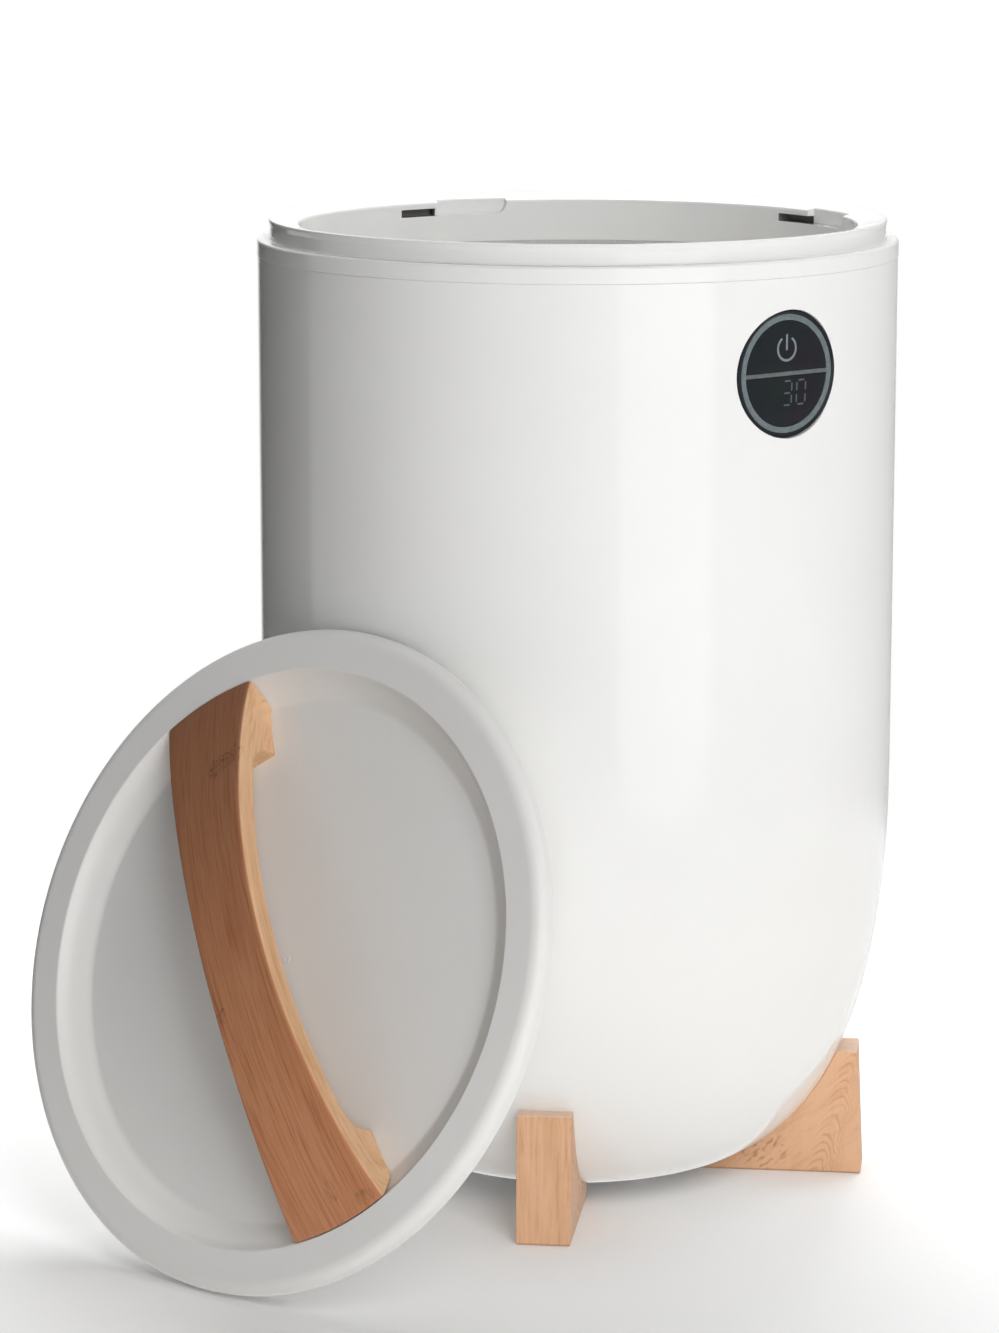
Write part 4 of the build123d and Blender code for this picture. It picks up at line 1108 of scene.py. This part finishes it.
def section(s, inset=0.0):
    hw, hi, lo = half_w(s) - inset, arch(s) - inset, under(s) + (inset if abs(s) > LEG else 0.0)
    rt, rb_ = 2.3, 1.5
    rt = min(rt, (hi - lo) * 0.4)
    rb_ = min(rb_, (hi - lo) * 0.4)
    pts = []
    for k in range(9):
        pts.append((-(hw - rt) + 2 * (hw - rt) * k / 8, hi))
    for k in range(1, 6):
        a = PI / 2 - PI / 2 * k / 6
        pts.append((hw - rt + rt * math.cos(a), hi - rt + rt * math.sin(a)))
    for k in range(6):
        pts.append((hw, hi - rt + (lo + rb_ - hi + rt) * k / 5))
    for k in range(1, 4):
        a = -PI / 2 * k / 4
        pts.append((hw - rb_ + rb_ * math.cos(a), lo + rb_ + rb_ * math.sin(a)))
    for k in range(9):
        pts.append((hw - rb_ - 2 * (hw - rb_) * k / 8, lo))
    for k in range(1, 4):
        a = -PI / 2 - PI / 2 * k / 4
        pts.append((-hw + rb_ + rb_ * math.cos(a), lo + rb_ + rb_ * math.sin(a)))
    for k in range(6):
        pts.append((-hw, lo + rb_ + (hi - rt - lo - rb_) * k / 5))
    for k in range(1, 6):
        a = PI - PI / 2 * k / 6
        pts.append((-hw + rt + rt * math.cos(a), hi - rt + rt * math.sin(a)))
    return pts


half_rows = [0, 6, 12, 18, 24, 30, 36, 42, 48, 54, 60, 66, 72, 78, 83, 88, 90, 92, 94, 95.5, 97, 98.2, 99.1, 99.8, 100.3, 100.7, 101.0, 101.25, 101.5,
             101.8, 102.6, 104, 107, 111, 115, 120, 125, 130, 134, 137.0, 138.2, 138.8]
rows = [-s for s in half_rows[::-1]] + half_rows[1:]
loops, grain, tone = [], [], []


def put_row(s, inset=0.0, push=0.0):
    lp_, g = [], []
    ring_k = section(s, inset)
    tone.extend([0.0] * 9 + [0.0, 0.15, 0.4, 0.75, 1.0] + [1.0] * (len(ring_k) - 19) + [1.0, 0.75, 0.4, 0.15, 0.0])
    for t, w in ring_k:
        ss = bent(s, t, w) + math.copysign(push, s)
        lp_.append((ss, t, w))
        g.append((ss, t, w - arch(s)))
    loops.append(lp_)
    grain.extend(g)


put_row(-138.8, 0.5, 0.42)
put_row(-138.8, 0.2, 0.28)
for s in rows:
    put_row(s)
put_row(138.8, 0.2, 0.28)
put_row(138.8, 0.5, 0.42)
v, f = loft(loops, True, True)
f = [q[::-1] for q in f]
bam_handle = bamboo("bamboo_handle", srgb(225, 184, 145), srgb(217, 172, 132), srgb(194, 144, 101),
                    broad=(srgb(201, 139, 101), srgb(186, 122, 84), srgb(160, 99, 66)),
                    marks=((0.1000, -0.0140, 0.0115, 0.0020, 0.0125, 0.0080, 1.0), (-0.0260, 0.0150, 0.0028, 0.0006, 0.0060, 0.0050, 0.8)),
                    nicks=((-0.1335, -0.0195, 0.004, 0.007), (-0.1245, -0.0045, 0.006, 0.004)))
ob = auto_mesh("handle_grip", lid_place(v), f, bam_handle, 38, grain)
at = ob.data.attributes.new("tone", "FLOAT_VECTOR", "POINT")
at.data.foreach_set("vector", np.repeat(np.array(tone, np.float32), 3))
finish_piece(ob, "lid", "bamboo", "lid_handle")

# ------------------------------------------------------------------ floor, light, camera
floor_t = Tree("studio_floor")
fv = floor_t.coords()
fn = floor_t.noise(fv, 3.0, 3.0)
white = floor_t.mix(floor_t.rng(fn, 0.3, 0.7, 0, 1), (0.90, 0.90, 0.90, 1), (0.885, 0.885, 0.885, 1))
CAM_R = (0.78694, -0.61704, 0.0)
CAM_F = (0.61704, 0.78694, 0.0)
side_pos = floor_t.vmath("DOT_PRODUCT", fv, CAM_R)
mask = floor_t.rng(side_pos, -0.62, -0.20, 0.06, 1.0, True)
bounce = floor_t.mix(mask, (0.05, 0.05, 0.05, 1), (0.98, 0.97, 0.96, 1))
lp_node = floor_t.node("ShaderNodeLightPath")
seen = lp_node.outputs["Is Camera Ray"]
far = floor_t.math("MULTIPLY", floor_t.rng(floor_t.vmath("LENGTH", fv), 0.42, 0.80, 0.0, 1.0, True), seen)
near_col = floor_t.mix(seen, bounce, white)
# a faint even glow on the floor, seen by the camera only, lightens its shadows: painted light
lift = floor_t.math("MAXIMUM", far, floor_t.math("MULTIPLY", seen, 0.055))
floor_t.set(color=floor_t.mix(far, near_col, (0, 0, 0, 1)), rough=0.9, spec=0.0, emit=(1, 1, 1, 1), emit_s=lift,
            normal=floor_t.bump(floor_t.noise(fv, 400.0, 2.0), 0.05, 0.00005))
fs = [(-9.0, -9.0, -0.0002), (9.0, -9.0, -0.0002), (9.0, 9.0, -0.0002), (-9.0, 9.0, -0.0002)]
me = bpy.data.meshes.new("studio_floor")
me.from_pydata(fs, [], [[0, 1, 2, 3]])
me.materials.append(floor_t.mat)
floor = bpy.data.objects.new("studio_floor", me)
bpy.context.scene.collection.objects.link(floor)
floor.visible_glossy = False

R3 = np.array(CAM_R)
F3 = np.array(CAM_F)
U3 = np.array([0.0, 0.0, 1.0])


def area(name, right, away, up, target, sx, sy, power, color=(1, 1, 1)):
    """Softbox placed by metres right of, away from and above the bucket's foot, seen from the camera."""
    d = bpy.data.lights.new(name, "AREA")
    d.shape, d.size, d.size_y, d.energy, d.color = "RECTANGLE", sx, sy, power, color
    o = bpy.data.objects.new(name, d)
    pos = Vector(R3 * right + F3 * away + U3 * up)
    tgt = Vector(R3 * target[0] + F3 * target[1] + U3 * target[2])
    o.location = pos
    o.rotation_mode = "QUATERNION"
    o.rotation_quaternion = (tgt - pos).to_track_quat("-Z", "Y")
    o.visible_glossy = False
    bpy.context.scene.collection.objects.link(o)
    return o


LIGHTS = [
    ("front_low", 0.208, -2.382, 0.409, (0.0, 0.0, 0.25), 1.0, 1.0, 14.6),
    ("front_high", 0.65, -1.975, 1.4, (0.0, 0.0, 0.25), 1.0, 1.0, 23.2),
    ("back_top", 0.0, 1.2, 1.9, (0.0, 0.0, 0.0), 1.2, 1.2, 40.9),
    ("back_right", 1.1, 1.0, 1.7, (0.0, 0.0, 0.0), 1.2, 1.2, 16.0),
    ("back_left", -1.1, 1.0, 1.7, (0.0, 0.0, 0.0), 1.2, 1.2, 9.9),
    ("right_high", 1.7, 0.0, 1.4, (0.0, 0.0, 0.0), 1.2, 1.2, 4.8),
]
for row in LIGHTS:
    area(*row)

world = bpy.data.worlds.new("studio")
bpy.context.scene.world = world
world.use_nodes = True
wt = Tree.__new__(Tree)
wt.t = world.node_tree
wt.t.nodes.clear()
wt.obj = None
wout = wt.node("ShaderNodeOutputWorld")
gen = wt.node("ShaderNodeTexCoord").outputs["Generated"]
a_r = wt.vmath("DOT_PRODUCT", gen, CAM_R)
a_c = wt.vmath("DOT_PRODUCT", gen, (-CAM_F[0], -CAM_F[1], 0.0))
zed = wt.sep(gen)[2]
alpha = wt.math("MULTIPLY", wt.math("ARCTAN2", a_r, a_c), 180.0 / PI)
elev = wt.math("MULTIPLY", wt.math("ARCSINE", zed), 180.0 / PI)


def g(vv):
    return (vv, vv, vv, 1.0)


stops = [(-180, 1.0), (-168, 0.9), (-162, 0.05), (-112, 0.05), (-110, 0.60), (-60, 0.80), (0, 0.93), (60, 0.92), (100, 0.74), (118, 0.55),
         (150, 0.45), (170, 0.50), (180, 1.0)]
ringv = wt.ramp(wt.rng(alpha, -180.0, 180.0, 0.0, 1.0), [((a + 180.0) / 360.0, g(b)) for a, b in stops])
# softbox seen by glossy rays: rounded lower corners
E0 = -13.3
qx = wt.math("DIVIDE", wt.math("MAXIMUM", wt.math("SUBTRACT", wt.math("ABSOLUTE", wt.math("SUBTRACT", alpha, 31.0)), 4.0), 0.0), 13.0)
qy = wt.math("DIVIDE", wt.math("MAXIMUM", wt.math("SUBTRACT", E0 + 1.9, elev), 0.0), 1.9)
dd = wt.math("SQRT", wt.math("ADD", wt.math("MULTIPLY", qx, qx), wt.math("MULTIPLY", qy, qy)))
box_mask = wt.rng(dd, 0.90, 1.10, 1.0, 0.0, True)
up_mask = wt.rng(elev, 40.0, 62.0, 0.0, 1.0, True)
low_mask = wt.rng(elev, E0 - 0.7, E0 + 0.7, 1.0, 0.0, True)
env = wt.mix(wt.math("MULTIPLY", box_mask, 1.0), ringv, g(2.1))
env = wt.mix(up_mask, env, g(1.25))
env = wt.mix(low_mask, env, g(0.98))
wlp = wt.node("ShaderNodeLightPath")
two_way = wt.mix(wlp.outputs["Is Glossy Ray"], g(0.02), env)
col = wt.mix(wlp.outputs["Is Camera Ray"], two_way, g(1.0))
bg = wt.node("ShaderNodeBackground")
wt.link(col, bg.inputs["Color"])
bg.inputs["Strength"].default_value = 1.0
wt.link(bg.outputs[0], wout.inputs["Surface"])

bpy.context.scene.view_settings.view_transform = "Standard"
bpy.context.scene.view_settings.look = "None"

cam_d = bpy.data.cameras.new("camera")
cam = bpy.data.objects.new("camera", cam_d)
bpy.context.scene.collection.objects.link(cam)
bpy.context.scene.camera = cam
cx, cy, cz, pitch, yaw, fpx = -0.0401236, -2.18007, 0.6732926, 0.18773, 0.00053, 4352.9448
pos = R3 * cx + F3 * cy + U3 * cz
look = R3 * (math.sin(yaw) * math.cos(pitch)) + F3 * (math.cos(yaw) * math.cos(pitch)) - U3 * math.sin(pitch)
cam.location = Vector(pos)
cam.rotation_mode = "QUATERNION"
cam.rotation_quaternion = Vector(look).to_track_quat("-Z", "Y")
cam_d.sensor_fit = "AUTO"
cam_d.sensor_width = 36.0
cam_d.lens = 36.0 * fpx / 1333.0
cam_d.clip_start, cam_d.clip_end = 0.05, 60.0
